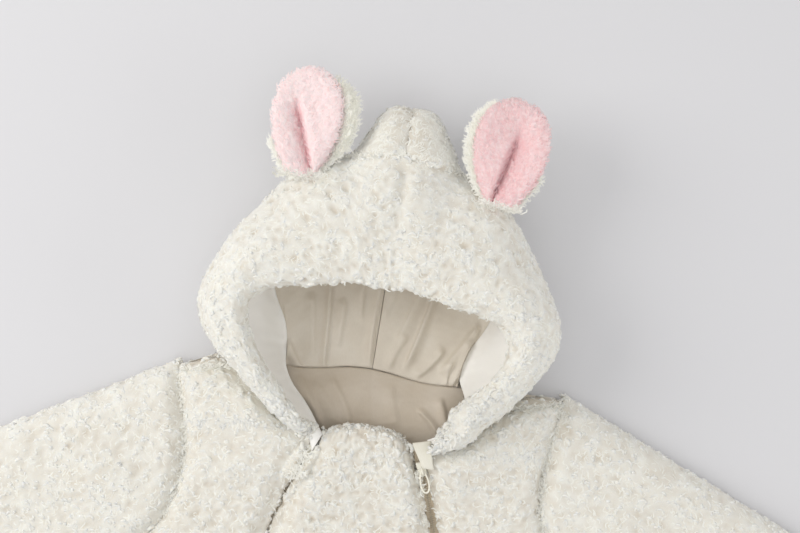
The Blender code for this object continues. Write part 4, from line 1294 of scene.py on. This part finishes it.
def to_nape(angle, foot, count):
    """The floor: count rows from the foot of a section straight to the nape line, where the feet
    spread out by the cosine of their directions."""
    nape = foot.copy()
    nape[..., 0] = foot[0, 0, 0] * np.cos(np.radians(angle)) / math.cos(math.radians(angle[0, 0]))
    nape[..., 1] = 0.15
    share = np.arange(1, count + 1)[:, None, None] / count
    return foot * (1 - share) + nape * share


def crown_folds(angle, turn):
    """How far the crown's cloth is pulled in by soft waves, which fade at the middle seam."""
    return 1.2 * waves(angle * 2.4, turn * 0.9, 45, seed=23) * smooth(0, 10, 90 - angle)


def add_crown(name, side, seed):
    """Half of the crown: from the cross seam down to the table, and beneath to the nape."""
    angle, rise_across = between_edges(0.4, 90 + PILE_PAST_MIDDLE, 0.4, 1.0, CROWN_COLUMNS)
    angle = angle[None, :]
    seam = hood_at(angle)["seam"] + 0.5
    share = np.concatenate([0.02 * INSET, 0.02 + 0.68 * shares(12), 0.7 + 0.3 * shares(3)[1:]])[:, None]
    turn = seam + (-90 - seam) * share
    rise_down = np.concatenate([RISE, np.ones(len(share) - RATIO)])[:, None]
    valley = 2.6 * hump(90 - angle, 1.6)
    bulge = CROWN_BULGE[side] * hump(angle - 79, 3.5)
    folds = crown_folds(angle, turn) * smooth(0, 12, seam - turn) * smooth(-70, -40, turn)
    depth = 0 * turn + SEAM_PULL * (1 - rise_down)
    depth = depth + 0.8 * (1 - rise_across) + (valley - bulge) + folds
    shell = hood_shell(angle, turn, depth)
    skin = np.concatenate([shell, to_nape(angle, shell[-1:], FLOOR_ROWS * RATIO)])
    coarse_angle, coarse_turn = np.minimum(angle[:, ::RATIO], 90 - MIDDLE_GAP), turn[COARSE_SIDE]
    shell = hood_shell(coarse_angle, coarse_turn, CROWN_THICK + 0 * coarse_turn)
    under = np.concatenate([shell, to_nape(coarse_angle, shell[-1:], FLOOR_ROWS)])

    random = np.random.default_rng(seed + 900)
    angle = random.uniform(62, 90, CROWN_TUFTS)
    turn = hood_at(angle)["seam"] + random.uniform(-1.5, 1.5, CROWN_TUFTS)
    spots = hood_shell(angle, turn, 1.5 + 0 * angle) * (side, 1, 1)
    ways = unit(spots * (0.003, 0.003, 0) + (0, 0, 1.0))
    add_fleece(name, skin * (side, 1, 1), under * (side, 1, 1), seed,
               nap_way=(0, 1.6, 1.0), strand_spacing=3.0, edge_fur=(spots, ways))


add_crown("hood_crown_right", 1, 24)
add_crown("hood_crown_left", -1, 25)

# %% [markdown]
# ### Ears
#
# Each ear is two pieces sewn round the outline: short plush in front and fleece behind. A tuck at
# the base folds the front lengthwise. A sphere squeezed flat would lose the tuck, so the front is
# a grid over the outline with a swell, and the tuck is a deep narrow trough that runs from the
# base toward the tip. The plush is much shorter than the fleece and lies one way, so it has no
# locks: fine ridges in the material and short fibres along the nap are its pile. Its colour is
# darkened in the tuck and toward the outline as painted shade.

# %% Plush material
def plush_material(name, tip, painted_shade_pink):
    """Short dense pile: fine streaks along the nap, and painted shade, darker where the attribute pile
    is low.
    """
    made, tree, shader = new_material(
        name, Roughness=0.9, Sheen_Weight=0.35, Sheen_Roughness=0.5, Subsurface_Weight=0.5,
        Subsurface_Radius=(1.0, 0.7, 0.65), Subsurface_Scale=0.002)
    place = place_on(tree)
    height = node(tree, "ShaderNodeAttribute", attribute_name="pile").outputs["Fac"]
    tufts = noise(tree, place, BUNDLE_PACE, Detail=3.0, Distortion=0.6)
    shade = both(tree, "ADD", height, mapped(tree, tufts, 0.3, 0.7, -0.16, 0.14))
    colour_by(tree, shader, shade, ((0.0, painted_shade_pink), (0.85, tip)))
    turned = node(
        tree, "ShaderNodeMapping", {"Vector": place}, Scale=(1.0, 0.3, 1.0), Rotation=(0, 0, 0.25))
    fibre = noise(tree, turned.outputs[0], 1 / (0.9 * MM), Detail=2.0, Distortion=0.8)
    bump_by(tree, shader, fibre, 0.6, 0.0006)
    return made


# the pale pink, and the painted shade of the tuck and the outline
pink_plush = plush_material("pale_pink_plush", "FAEAEA", "E9B6BA")

# %% Ear grid
EAR_COVER = 0.97  # share of the length that both pieces fill
EAR_ROLL = 14  # mm from the outline to the full thickness


def ear_half(along):
    """Half the ear's width at each share of its length."""
    return EAR_HALF * through(along, EAR_OUTLINE[:, 0], EAR_OUTLINE[:, 1])


def ear_grid(rows, columns):
    """Stations along the ear and across it, closer together near the outline."""
    turn = np.linspace(0, np.pi, rows * RATIO + 1)[:, None]
    along = 0.5 - 0.5 * np.cos(turn)
    aside = -np.cos(np.linspace(0.06, np.pi - 0.06, columns * RATIO + 1)) / math.cos(0.06)
    return along + 0 * aside, aside + 0 * along, ear_half(along)


def ear_swell(aside, along, half):
    """0 at the ear's outline and 1 in its middle, round the sides and the tip."""
    from_side, from_tip = (1 - np.abs(aside)) * half, (1.02 - along) * EAR_LENGTH
    return rounding(from_side, EAR_ROLL) * rounding(from_tip, EAR_ROLL)


# %% Ear fronts
FRONT_WIDTH = {1: 0.96, -1: 0.9}  # share of the outline that the pink front fills
TUCK_FOOT, TUCK_SLOPE = {1: -0.27, -1: -0.35}, {1: 0.62, -1: 1.05}  # shares of the half width
EAR_PAINTED_LIGHT = {1: 0.62, -1: 0.95}  # share of the pale tips in each ear's colour: painted light, the right ear painted darker, as in shade
PLUSH_HIGH = 7.6  # mm
PLUSH_SPACING = 1.45  # mm between the fibres that stand out of the plush


def add_ear_front(name, side):
    """The plush front: a swell with a tuck, which is a narrow and a wide trough in one."""
    along, aside, half = ear_grid(15, 10)
    x, y = aside * half, EAR_LENGTH * along
    away = x - EAR_HALF * (TUCK_FOOT[side] + TUCK_SLOPE[side] * along)
    open_end = 1 - smooth(0.5, 0.78, along)
    narrow, wide = 1.7 + 2.0 * along, np.where(away > 0, 9.0, 2.6)
    tuck = (0.5 * hump(away, narrow) + 0.4 * hump(away, wide)) * open_end
    lip = 2.0 * hump(away + 6, 5) * open_end
    uneven = 0.5 * waves(x, y, 6, seed=31 + side) + 0.35 * waves(x, y, 3, seed=33)
    swell = ear_swell(aside, along, half)
    z = ear_middle(x, along) + 1.5 + PLUSH_HIGH * swell * (1 - tuck) + (lip + uneven) * swell
    x, y = FRONT_WIDTH[side] * x, EAR_COVER * y
    skin = ear_place(x, y, z, side)
    under = ear_place(x, y, ear_middle(x, along) + 0.3, side)[COARSE_SIDE]
    points, faces = closed(skin, under)
    # painted shade: darker in the tuck and toward the outline, and the right ear darker as a whole
    depth = EAR_PAINTED_LIGHT[side] * np.clip(1 - 0.95 * tuck * swell - 0.3 * (1 - swell) ** 3, 0, 1)
    pile = np.append(depth.ravel(), np.full(under[..., 0].size, 0.6))
    made = add_mesh(f"{name}_plush", placed(points), faces, pink_plush, pile=pile)
    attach(made, "suit")
    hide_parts(name)

    random = np.random.default_rng(36 + side)
    row, column = sprinkled(skin, PLUSH_SPACING, random)
    normals = grid_normals(skin)
    if normals[..., 2].sum() < 0:
        normals = -normals
    base, out = at(skin, row, column), unit(at(normals, row, column))
    from_tuck = at(np.clip(away / 6, -1, 1), row, column)
    nap = xyz(side * from_tuck * 1.3, 1.5 + 0 * from_tuck, 0 * from_tuck)
    points, strips, shade = strand_ribbons(base, out, nap, random, size=0.85, loose=0.35, stand=0.3)
    # the fibres take the painted shade of the plush under them
    painted_shade_under = np.repeat(at(depth, row, column), 2 * len(STRAND_RINGS))
    fibres = (points, strips, painted_shade_under * (0.75 + 0.35 * shade))
    fur = add_fur(f"{name}_fibres", [fibres], pink_plush)


# %% Ear backs
BACK_PAST_FRONT = {1: 4.5, -1: 9.0}  # mm that the white back shows beside the front's inner edge
BACK_HIGH = 7  # mm
EAR_TUFTS = 380  # strands round the outline, three of four at the inner edge


def past_front(along, spread):
    """How far the back reaches past the front: spread in the middle, 0 at the base and the tip."""
    return spread * smooth(0.0, 0.35, along) * smooth(1.0, 0.7, along)


def ear_tufts(side, seed, spread):
    """Places of the fibres round the ear's outline, and their directions."""
    along = np.random.default_rng(seed).uniform(0.05, 0.93, EAR_TUFTS)
    inner = np.arange(EAR_TUFTS) % 4 > 0
    along = np.where(inner, along, 0.35 * along)
    reach = np.where(inner, past_front(along, spread), 0.5) + 1.5
    outward_share = np.random.default_rng(seed + 1).uniform(0, 1, EAR_TUFTS) ** 0.7
    hand = np.where(inner, -1.0, 1.0)
    x = hand * (ear_half(along) - 1.5 + reach * outward_share)
    spots = ear_place(x, EAR_COVER * EAR_LENGTH * along, ear_middle(x, along) + 0.6, side)
    return spots, unit(xyz(side * hand, 0.6 * (along - 0.45), 0.6 + 0 * along))


def add_ear_back(name, side, seed):
    """The fleece back, a little wider than the front on its inner side."""
    along, aside, half = ear_grid(11, 8)
    spread = BACK_PAST_FRONT[side]
    low_corner = 1 - smooth(0.1, 0.4, along)
    x = aside * half - past_front(along, spread * smooth(-0.2, -1.0, aside))
    x = x + (3.0 * low_corner - 2.2) * smooth(0.2, 1.0, aside) * half / EAR_HALF
    y = EAR_COVER * EAR_LENGTH * along
    middle = ear_middle(x, along)
    skin = ear_place(x, y, middle - 1.5 - BACK_HIGH * ear_swell(aside, along, half), side)
    under = ear_place(x, y, middle - 0.3, side)[COARSE_SIDE]
    add_fleece(name, skin, under, seed, nap_way=(0, 1.0, 0),
               edge_fur=ear_tufts(side, seed, spread), under_pile=0.85)


for word, side in (("right", 1), ("left", -1)):
    add_ear_front(f"ear_{word}_front", side)
    add_ear_back(f"ear_{word}_back", side, 34 + side)

# %% [markdown]
# ### Linings
#
# The hood is lined with a fine plain-woven cloth in two halves, with a seam up the middle and one
# along the nape, and its inner edge is faced with a smooth knit. The lining is cut a little larger
# than the shell, so it lies in soft folds that run down from the brow. A cloth simulation could
# drape it, but its folds would fall elsewhere than where the real ones do. So each fold is a ridge
# along its own line: one flank is soft, the other steep, and it fades at both ends.

# %% Woven and knitted finishes
SLUBS = 0.25  # how much of the change of colour comes from uneven threads
BANDS = 3.18  # bands in a metre of a wave texture whose scale is 1


def woven_material(name, colours, thread, gloss, strength=0.15, sheen=0.2):
    """Plain weave: threads of the given width in mm cross over and under, and a soft change of
    colour runs along them. colours are the cloth's own, its shaded side and its worn side."""
    made, tree, shader = new_material(name, Roughness=gloss, Sheen_Weight=sheen, Sheen_Roughness=0.4)
    place = place_on(tree, "UV")
    pace = 1 / (2 * thread * MM) / BANDS
    warp, weft = (
        node(tree, "ShaderNodeTexWave", {"Vector": place}, bands_direction=way, Scale=pace,
             Distortion=0.4).outputs["Fac"] for way in "XY")
    streak = node(tree, "ShaderNodeMapping", {"Vector": place}, Scale=(1.0, 0.3, 1.0))
    slub = noise(tree, streak.outputs[0], 1 / (0.8 * MM), Detail=1.0)
    faint = node(tree, "ShaderNodeMath", {0: slub}, operation="MULTIPLY")
    faint.inputs[1].default_value = SLUBS
    mixed = both(tree, "ADD", noise(tree, place, 28.0, Detail=2.0), faint.outputs[0])
    own, shaded, worn = colours
    shade = mapped(tree, mixed, 0.3 + SLUBS / 2, 0.7 + SLUBS / 2)
    colour_by(tree, shader, shade, ((0.0, shaded), (0.5, own), (1.0, worn)))
    weave = both(tree, "MULTIPLY", warp, weft)
    bump_by(tree, shader, both(tree, "ADD", slub, weave), strength, 0.00015)
    return made


beige_lining = woven_material("beige_plain_weave_lining", ("DAD1C2", "D5CBBC", "E0D8CB"), 0.22, 0.5)
# darker than the hood lining: painted shade for the dim neck opening
neck_lining = woven_material("beige_neck_lining_in_painted_shade", ("C8BCAB", "C2B5A3", "CEC3B4"), 0.22, 0.55)
white_facing = woven_material(
    "off_white_knit_facing", ("FCFBF7", "F9F7F2", "FEFDFA"), 0.3, 0.6, sheen=1.0)
tab_ribbon = woven_material(
    "cream_grosgrain_ribbon", ("EDEADD", "E6E2D3", "F1EEE4"), 0.35, 0.5, strength=0.6)

# %% Folds
# mm: x and y where a fold starts and ends, its flank's width, left or right, and its height
HOOD_FOLDS = np.array([
    (-3.5, 70, -2.0, 0, 4.0, 2.0),
    (-43, 68, -35, -4, 3.2, 3.0),
    (-55, 50, -44, 6, 6.0, 1.6),
    (-30, 50, -27, 14, 5.0, 1.6),
    (-15, 70, -15, 36, 5.0, 1.8),
    (38, 70, 24, 6, -3.6, 3.2),
    (30, 68, 14, 26, -6.0, 2.0),
    (22, 30, 12, 3, 5.0, 1.5),
    (75, 46, 50, 10, -5.0, 3.0),
    (51, 26, 34, 2, 4.0, 2.0),
    (70, 34, 62, -2, 4.0, 2.2),
    (60, 18, 57, 0, 3.0, 1.4),
    (-67, 16, -48, -5, 5.0, 1.8),
    (8, 66, 4, 40, 5.0, 1.0),
], float)
NECK_FOLDS = np.array([
    (-54, -8, -35, -48, 5.0, 1.8),
    (-44, -10, -24, -46, 7.0, 1.0),
    (-31, -8, -14, -44, 5.0, 1.4),
    (37, -22, 51, -42, -4.0, 2.0),
    (16, -8, 20, -40, 7.0, 0.8),
    (52, -10, 60, -34, 5.0, 1.6),
], float)
FOLD_STEEP = 0.38  # how narrow the steep flank is beside the soft one
FOLD_RISE = 1.5
NAPE_WAVE = np.array([
    (-90, 0), (-63, -6), (-39, -4), (-18, 0), (0, 1), (12, 0), (26, -2), (40, -3.5), (66, -2.5),
    (90, 0),
], float)


def folded(x, y, folds):
    """Height of the folds at each point: for a point s to one side of a fold's line, height times
    exp(-(s / flank)^2), steeper on the other side, and fading over a fifth of its length."""
    total = np.zeros_like(x)
    for x0, y0, x1, y1, flank, height in folds:
        along_x, along_y = x1 - x0, y1 - y0
        length = math.hypot(along_x, along_y)
        t = ((x - x0) * along_x + (y - y0) * along_y) / length**2
        s = ((x - x0) * along_y - (y - y0) * along_x) / length
        s = s + 1.2 * np.sin(3.1 * t + x0)
        width = np.where(s * flank > 0, abs(flank), FOLD_STEEP * abs(flank))
        fade = smooth(-0.06, 0.12, t) * (1 - smooth(0.82, 1.06, t))
        total += FOLD_RISE * height * hump(s, width) * fade
    return total


def nape_wave(x, y):
    """The seam at the nape isn't straight: both linings follow it, less and less away from it."""
    return through(x, NAPE_WAVE[:, 0], NAPE_WAVE[:, 1]) * (1 - smooth(8, 40, np.abs(y)))


# %% Thin cloth
def cloth_mesh(name, seen, hidden, material, flat=None):
    """A closed thin sheet between its seen grid and a coarse hidden one, in mm; flat is where the
    seen one's points lie on the cloth, or else they lie as from above."""
    flat = seen[..., :2] if flat is None else flat
    uv = np.concatenate([flat.reshape(-1, 2), flat[COARSE_SIDE].reshape(-1, 2)]) * MM
    points, faces = closed(seen, hidden)
    return add_mesh(name, placed(points), faces, material, uv=uv)


def add_cloth(name, seen, hidden, material, flat=None, piece=None):
    """Such a sheet in place of a CAD piece."""
    made = cloth_mesh(piece or f"{name}_cloth", seen, hidden, material, flat)
    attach(made, "suit")
    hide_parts(name)


# %% Hood lining
LINING_THICK = 1.5  # mm
LINING_COLUMNS, BAG_ROWS, BAG_FLOOR_ROWS = 20, 3, 14


def bag_section(angle, share, away):
    """The hood's lining hangs inside it as a bag: a cubic curve from under the rim, out and down
    to the floor. away moves a point off the curve, out of the hollow."""
    size = hood_at(angle)
    reach, half = hood_reach(size), size["top"] / 2
    turn = math.radians(RIM_TURN - 4)
    start_r = size["out"] - reach + (reach - size["wall"]) * math.cos(turn) - 1
    start_z = half + (half - size["wall"] - 4) * math.sin(turn)
    handles = [
        (start_r, start_z), (size["bag_high"], start_z - 6), (size["bag_low"], size["floor"]),
        (size["bag_foot"], size["floor"]),
    ]
    weights = [(1 - share) ** 3, 3 * share * (1 - share) ** 2, 3 * share**2 * (1 - share), share**3]
    radius, height = (sum(w * handle[i] for w, handle in zip(weights, handles)) for i in (0, 1))
    slope = [(1 - share) ** 2, 2 * share * (1 - share), share**2]
    along_r, along_z = (
        sum(w * (b[i] - a[i]) for w, a, b in zip(slope, handles, handles[1:])) for i in (0, 1))
    length = np.hypot(along_r, along_z)
    return round_nape(angle, radius - away * along_z / length, height + away * along_r / length)


def add_lining(name, side):
    """Half of the lining: what the face opening shows of the bag, and its floor with the folds."""
    angle, rise_across = between_edges(0.4, 90 - 0.12, 0.3, 0.8, LINING_COLUMNS)
    angle = angle[None, :]
    face = hood_at(angle)["face"] + 0.008
    share = face + (1 - face) * shares(BAG_ROWS)[:, None]
    layers = []
    for away, step in ((0.0, 1), (LINING_THICK, RATIO)):
        bag = bag_section(angle[:, ::step], share[::step, ::step], away)
        floor_part = to_nape(angle[:, ::step], bag[-1:], BAG_FLOOR_ROWS * RATIO // step)
        layers.append(np.concatenate([bag, floor_part]) * (side, 1, 1))
    seen, hidden = layers
    x, y = seen[..., 0], seen[..., 1]
    from_foot = smooth(4, BAG_ROWS * RATIO, np.arange(seen.shape[0])[:, None])
    to_seam = rounding(y, 1.3) * (0.45 + 0.55 * rise_across)
    uneven = 0.35 * waves(x, y, 24, seed=41) + 0.12 * waves(x, y, 7, seed=42)
    lift = folded(x, y, HOOD_FOLDS) + uneven + 0.4
    seen[..., 2] += np.maximum(lift * from_foot * to_seam, -0.3) - 0.7 * (1 - to_seam)
    for layer in (seen, hidden):
        layer[..., 1] += nape_wave(layer[..., 0], layer[..., 1])
    add_cloth(name, seen, hidden, beige_lining)


add_lining("hood_lining_right", 1)
add_lining("hood_lining_left", -1)


# %% Facing
FACING_COLUMNS, FACING_ROWS, FACING_WIDTH, FACING_RADIUS = 42, 7, 60, 85.0  # the last two in mm
FACING_TURN = (209, 217, 225)  # degrees, where its left end leaves the hood
FACING_FOOT = np.array([(-47.0, -36.0, 25.0), (-34.0, -51.5, 35.5), (-40.0, -66.0, 38.0)])  # mm, there


def turned_end(section, angle, arc, lift):
    """The left end leaves the hollow: past 210 degrees its lower edge comes up to the zip."""
    foot = np.stack([np.interp(angle, FACING_TURN, column) for column in FACING_FOOT.T], -1)
    bow = np.sin(np.pi * arc)[..., None] * (0, 0, -2.5)
    straight = section[:1] + (foot - section[:1]) * arc[..., None] + bow
    straight[..., 2] += lift
    return section + (straight - section) * smooth(206, 216, angle)[..., None]


def add_facing():
    """The facing follows the bag from under the rim down to where the lining starts."""
    angle = np.linspace(HOOD_END + 1, 179 - HOOD_END, FACING_COLUMNS * RATIO + 1)[None, :]
    arc = shares(FACING_ROWS)[:, None]
    share = arc * hood_at(angle)["face"] * (0.3 + 0.7 * smooth(-16, 4, angle))
    inside = rounding(np.minimum(arc, 1 - arc), 0.1)
    wide = 0.9 * waves(angle * 1.6, 30 * arc, 22, seed=45)
    ripple = (wide + 0.5 * waves(angle * 1.6, 18 * arc, 8, seed=46)) * inside
    few = slice(None, None, RATIO)
    seen = turned_end(bag_section(angle, share, -0.4 * ripple - 0.2), angle, arc, 0.3 * ripple)
    hidden = bag_section(angle[:, few], share[COARSE_SIDE], LINING_THICK)
    hidden = turned_end(hidden, angle[:, few], arc[few], -LINING_THICK)
    flat = np.stack([np.radians(angle) * FACING_RADIUS + 0 * arc, FACING_WIDTH * arc + 0 * angle], -1)
    add_cloth("hood_facing", seen, hidden, white_facing, flat=flat)


add_facing()


# %% Back-neck lining
NECK_LINING_HALF, NECK_LINING_LONG = 72, 60  # mm


def add_neck_lining():
    """The lining below the nape seam, with its own folds and a seam up its middle."""
    x = np.linspace(-NECK_LINING_HALF, NECK_LINING_HALF, 20 * RATIO + 1)[None, :]
    y = np.linspace(-0.4, -NECK_LINING_LONG, 9 * RATIO + 1)[:, None]
    x, y = x + 0 * y, y + 0 * x
    low = back_top(x, y) + 0.6
    seam = rounding(-y, 1.4)
    uneven = 0.3 * waves(x, y, 22, seed=47) + 0.1 * waves(x, y, 6, seed=48)
    lift = np.maximum((folded(x, y, NECK_FOLDS) + uneven + 0.3) * seam, -0.3)
    middle_seam = 0.35 * hump(x, 0.9)
    seen = xyz(x, y, low + LINING_THICK + lift - 0.9 * (1 - seam) - middle_seam)
    hidden = xyz(x, y, low)[COARSE_SIDE]
    for layer in (seen, hidden):
        layer[..., 1] += nape_wave(layer[..., 0], layer[..., 1])
    add_cloth("back_neck_lining", seen, hidden, neck_lining)


add_neck_lining()

# %% [markdown]
# ### Zips
#
# Each zip is two woven tapes with a nylon coil along their inner edges. The coil is one wire that
# loops over and under, so from above it is a row of short slanted bars. An array modifier on a
# curve would do, but it leaves a modifier to apply. So the bars are worked out as one mesh.

# %% Zip finishes
def worn_gloss(tree, shader, pace, low, high, **settings):
    """Roughness between low and high, from handling, in patches; gives the patches."""
    wear = noise(tree, place_on(tree), pace, **settings)
    tree.links.new(mapped(tree, wear, 0.0, 1.0, low, high), shader.inputs["Roughness"])
    return wear


zip_tape = woven_material(
    "beige_woven_zip_tape", ("CDBFA8", "C6B79E", "D3C6B2"), 0.4, 0.7, strength=0.8)
coil_nylon, tree, shader = new_material("cream_nylon_coil", Base_Color=linear("D9CFBC"), Roughness=0.38)
worn_gloss(tree, shader, 400.0, 0.32, 0.46)
cream_enamel, tree, shader = new_material(
    "cream_enamel_on_zinc", Base_Color=linear("F4F1E4"), Roughness=0.28, Coat_Weight=0.5,
    Coat_Roughness=0.1)
bump_by(tree, shader, worn_gloss(tree, shader, 900.0, 0.22, 0.36, Detail=3.0), 0.08, 0.0001)

# %% Tapes
TAPE_THICK, TAPE_RISE = 1.2, 3.0  # mm, and its height over the front's underside
TAPE_NEAR, TAPE_HALF = 0.2, 4.1  # mm from the zip's middle to a tape's two edges
TAPE_TOP = -52.0


def tape_low(x, y):
    """Underside of the tapes."""
    return front_low(x, y) + TAPE_RISE


def zip_center(y, side):
    """x of a zip's middle."""
    return side * across(ZIP, y)


def add_tape(name, side, near, far):
    """A tape between two distances from the zip's middle, with a woven ridge and a thin edge."""
    rows = row_stations((TAPE_TOP, NEAR_END, ZIP_END_Y), (1.5, 3.0))
    columns = np.linspace(near, far, 2 * RATIO + 1)
    x = zip_center(rows, side)[:, None] + side * columns
    y = np.broadcast_to(rows[:, None], x.shape)
    ridge = 0.25 * hump(np.abs(columns) - 2.6, 0.35)
    ridge = ridge - 0.2 * smooth(0.8, 1.0, np.abs(columns) / TAPE_HALF)
    seen = xyz(x, y, tape_low(x, y) + TAPE_THICK - 0.5 + ridge)
    hidden = over(x, y, tape_low)[COARSE_SIDE]
    made = cloth_mesh(f"{name}_weave", seen, hidden, zip_tape, np.stack([columns + 0 * x, y], -1))
    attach(made, "suit")
    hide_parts(name)


# %% Coils
COIL_PITCH, COIL_WIRE, COIL_HALF = 1.6, 0.42, 1.9  # mm
COIL_TOP = -60.0


def add_coil(name, side):
    """Bars across the zip's middle, by turns from the right and from the left tape: tubes with
    three rings of three points."""
    y = np.arange(COIL_TOP, ZIP_END_Y, -COIL_PITCH / 2)
    hand = np.where(np.arange(len(y)) % 2, 1.0, -1.0)
    t = np.linspace(0, 1, 3)
    x = zip_center(y, side)[:, None] + hand[:, None] * (-0.5 + (COIL_HALF + 0.5) * t)
    y = y[:, None] + 0.18 * t
    high = 0.75 + 0.5 * np.sin(np.pi * (0.15 + 0.75 * t))
    centre = xyz(x, y, tape_low(x, y) + TAPE_THICK - 0.75 + high)
    around = np.arange(3) / 3 * 2 * np.pi
    thick = COIL_WIRE * np.array([0.6, 1, 0.7])[None, :, None]
    rings = xyz(0 * around + 0 * thick, thick * np.cos(around), thick * np.sin(around))
    points = centre[:, :, None] + rings
    index = np.arange(points[..., 0].size).reshape(points.shape[:3])
    faces = [part[:, ::-1] for part in tube_faces(index)]
    made = add_mesh(name, placed(points.reshape(-1, 3)), faces, coil_nylon)
    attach(made, "suit")
    print(name, "coil bars:", len(y))


for word, side in (("right", 1), ("left", -1)):
    add_tape(f"zip_{word}_tape_inner", side, -TAPE_HALF, -TAPE_NEAR)
    add_tape(f"zip_{word}_tape_outer", side, TAPE_NEAR, TAPE_HALF)
    add_coil(f"zip_{word}_coil", side)

# %% [markdown]
# ### Pulls and ribbon tab
#
# A pull is a zinc wire loop with cream enamel, which hangs on its slider and swings up, so it is
# a piece of its own that turns with the pull's body. A circle scaled long would have an uneven
# wire. Here rings of points follow a closed line that is narrow at the bail and round at the end.
# The tab is a ribbon over the right zip's top end, with a row of stitches: a small bowed sheet.

# %% Sliders and pulls
SLIDER_Y, SLIDER_HALF_LONG, SLIDER_THICK = -66.0, 5.5, 4.6  # mm
SLIDER_GAP = 0.6  # mm over the tape
PULL_LENGTH, PULL_HALF, WIRE = 16.5, 3.6, 0.65
PULL_AXIS = (-1.2, SLIDER_THICK + 1.05)  # y and z of the pull's axis, from the slider's middle
WIRE_RINGS, WIRE_SIDES = 96, 10


def slider_place(side):
    """Middle of the slider's underside, after settling, and the direction of the zip there."""
    y = SLIDER_Y - np.array([0, SLIDER_HALF_LONG, -SLIDER_HALF_LONG])
    x = zip_center(y, side)
    low = tape_low(x, y).max() + TAPE_THICK + SLIDER_GAP
    top, below = settle(xyz(x, y, np.full(3, low)))[:2]
    return top, math.atan2(below[0] - top[0], top[1] - below[1])


def add_pull(name, body, side):
    """A wire loop, narrow at the bail and round at its end: rings of points round a closed line."""
    lap = np.linspace(0, 2 * math.pi, WIRE_RINGS, endpoint=False)
    down = (1 - np.cos(lap)) / 2
    aside = PULL_HALF * np.sin(lap) * (0.66 + 0.34 * down)
    line = xyz(aside, -PULL_LENGTH * down, 0.5 * down)
    ahead = unit(np.roll(line, -1, 0) - np.roll(line, 1, 0))
    out = unit(np.cross(ahead, (0, 0, 1)))
    above = np.cross(out, ahead)
    around = np.linspace(0, 2 * math.pi, WIRE_SIDES, endpoint=False)[None, :, None]
    points = line[:, None] + WIRE * (out[:, None] * np.cos(around) + above[:, None] * np.sin(around))
    spot, way = slider_place(side)
    turn = np.array([(math.cos(way), -math.sin(way), 0), (math.sin(way), math.cos(way), 0), (0, 0, 1)])
    points = (points + (0, *PULL_AXIS)) @ turn.T + spot + (0, NAPE_Y, 0)
    index = np.arange(WIRE_RINGS * WIRE_SIDES).reshape(WIRE_RINGS, WIRE_SIDES)
    right = np.roll(index, -1, 1)
    faces = np.stack([index, right, np.roll(right, -1, 0), np.roll(index, -1, 0)], -1).reshape(-1, 4)
    points = points.reshape(-1, 3) * MM
    made = add_mesh(f"{name}_wire", points, outward(points, [faces]), cream_enamel)
    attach(made, body)
    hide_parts(name)


add_pull("zip_right_pull", "pull_right", 1)
add_pull("zip_left_pull", "pull_left", -1)
for word in ("right", "left"):
    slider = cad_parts[f"zip_{word}_slider"]
    slider.data.materials.clear()
    slider.data.materials.append(cream_enamel)
    print(slider.name, "finished in", cream_enamel.name)


# %% Tab
TAB_TOP, TAB_END, TAB_CAD_END = -47.0, -64.4, -64  # mm, y; the solid under it ends a little higher
TAB_HALF, TAB_ASIDE = 6.5, 3.5  # mm, half its width, and how far right of the zip it lies
TAB_NARROWS = 0.32  # share of its width that it loses downward
STITCH_Y, STITCH_LONG = -49.0, 1.6


def add_tab():
    """A ribbon over the zip's top end, rounded at its edges and bowed across, narrower and more to
    the side downward, with a row of stitches at its top."""
    rows = np.linspace(TAB_TOP, TAB_END, 4 * RATIO + 1)
    span = np.linspace(-TAB_HALF, TAB_HALF, 4 * RATIO + 1)
    center = across(ZIP, rows)[:, None] + TAB_ASIDE
    narrow = 1 - TAB_NARROWS * smooth(-46, -66, rows)[:, None]
    x = center + 1.5 * (1 - narrow) / TAB_NARROWS + span * narrow
    y = rows[:, None] + 0.28 * (span + TAB_HALF) * smooth(-60, -50, rows)[:, None]
    cad_rows = np.linspace(-50.5, TAB_CAD_END, 4)
    cad_x = across(ZIP, cad_rows) + TAB_ASIDE + TAB_HALF
    height = front_top(cad_x + 3, cad_rows).max() + 1.2
    edge = rounding(TAB_HALF - np.abs(span), 0.7)[None, :] * rounding(TAB_TOP - rows, 0.7)[:, None]
    edge = edge * rounding(rows - TAB_END, 1.0)[:, None]
    seam = 0.35 * hump(rows - STITCH_Y, 0.4)[:, None]
    stitch = seam * (0.5 + 0.5 * np.sin(2 * np.pi * span / STITCH_LONG))[None, :]
    bow = 0.9 * np.cos((span + 1.5) / 8.0 * np.pi / 2)[None, :]
    seen = xyz(x, y, height + 0.5 + 0.7 * edge + bow - stitch * edge)
    hidden = xyz(x, y, height + 0 * x)[COARSE_SIDE]
    flat = np.stack([span + 0 * x, y], -1)
    add_cloth("zip_tab", seen, hidden, tab_ribbon, flat=flat,
              piece="zip_tab_ribbon")


add_tab()

# %% Finish
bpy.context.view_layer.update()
shown = [o.data for o in bpy.data.objects if o.type == "MESH" and not o.hide_render]
print("mesh triangles:", sum(len(mesh.loops) - 2 * len(mesh.polygons) for mesh in shown))
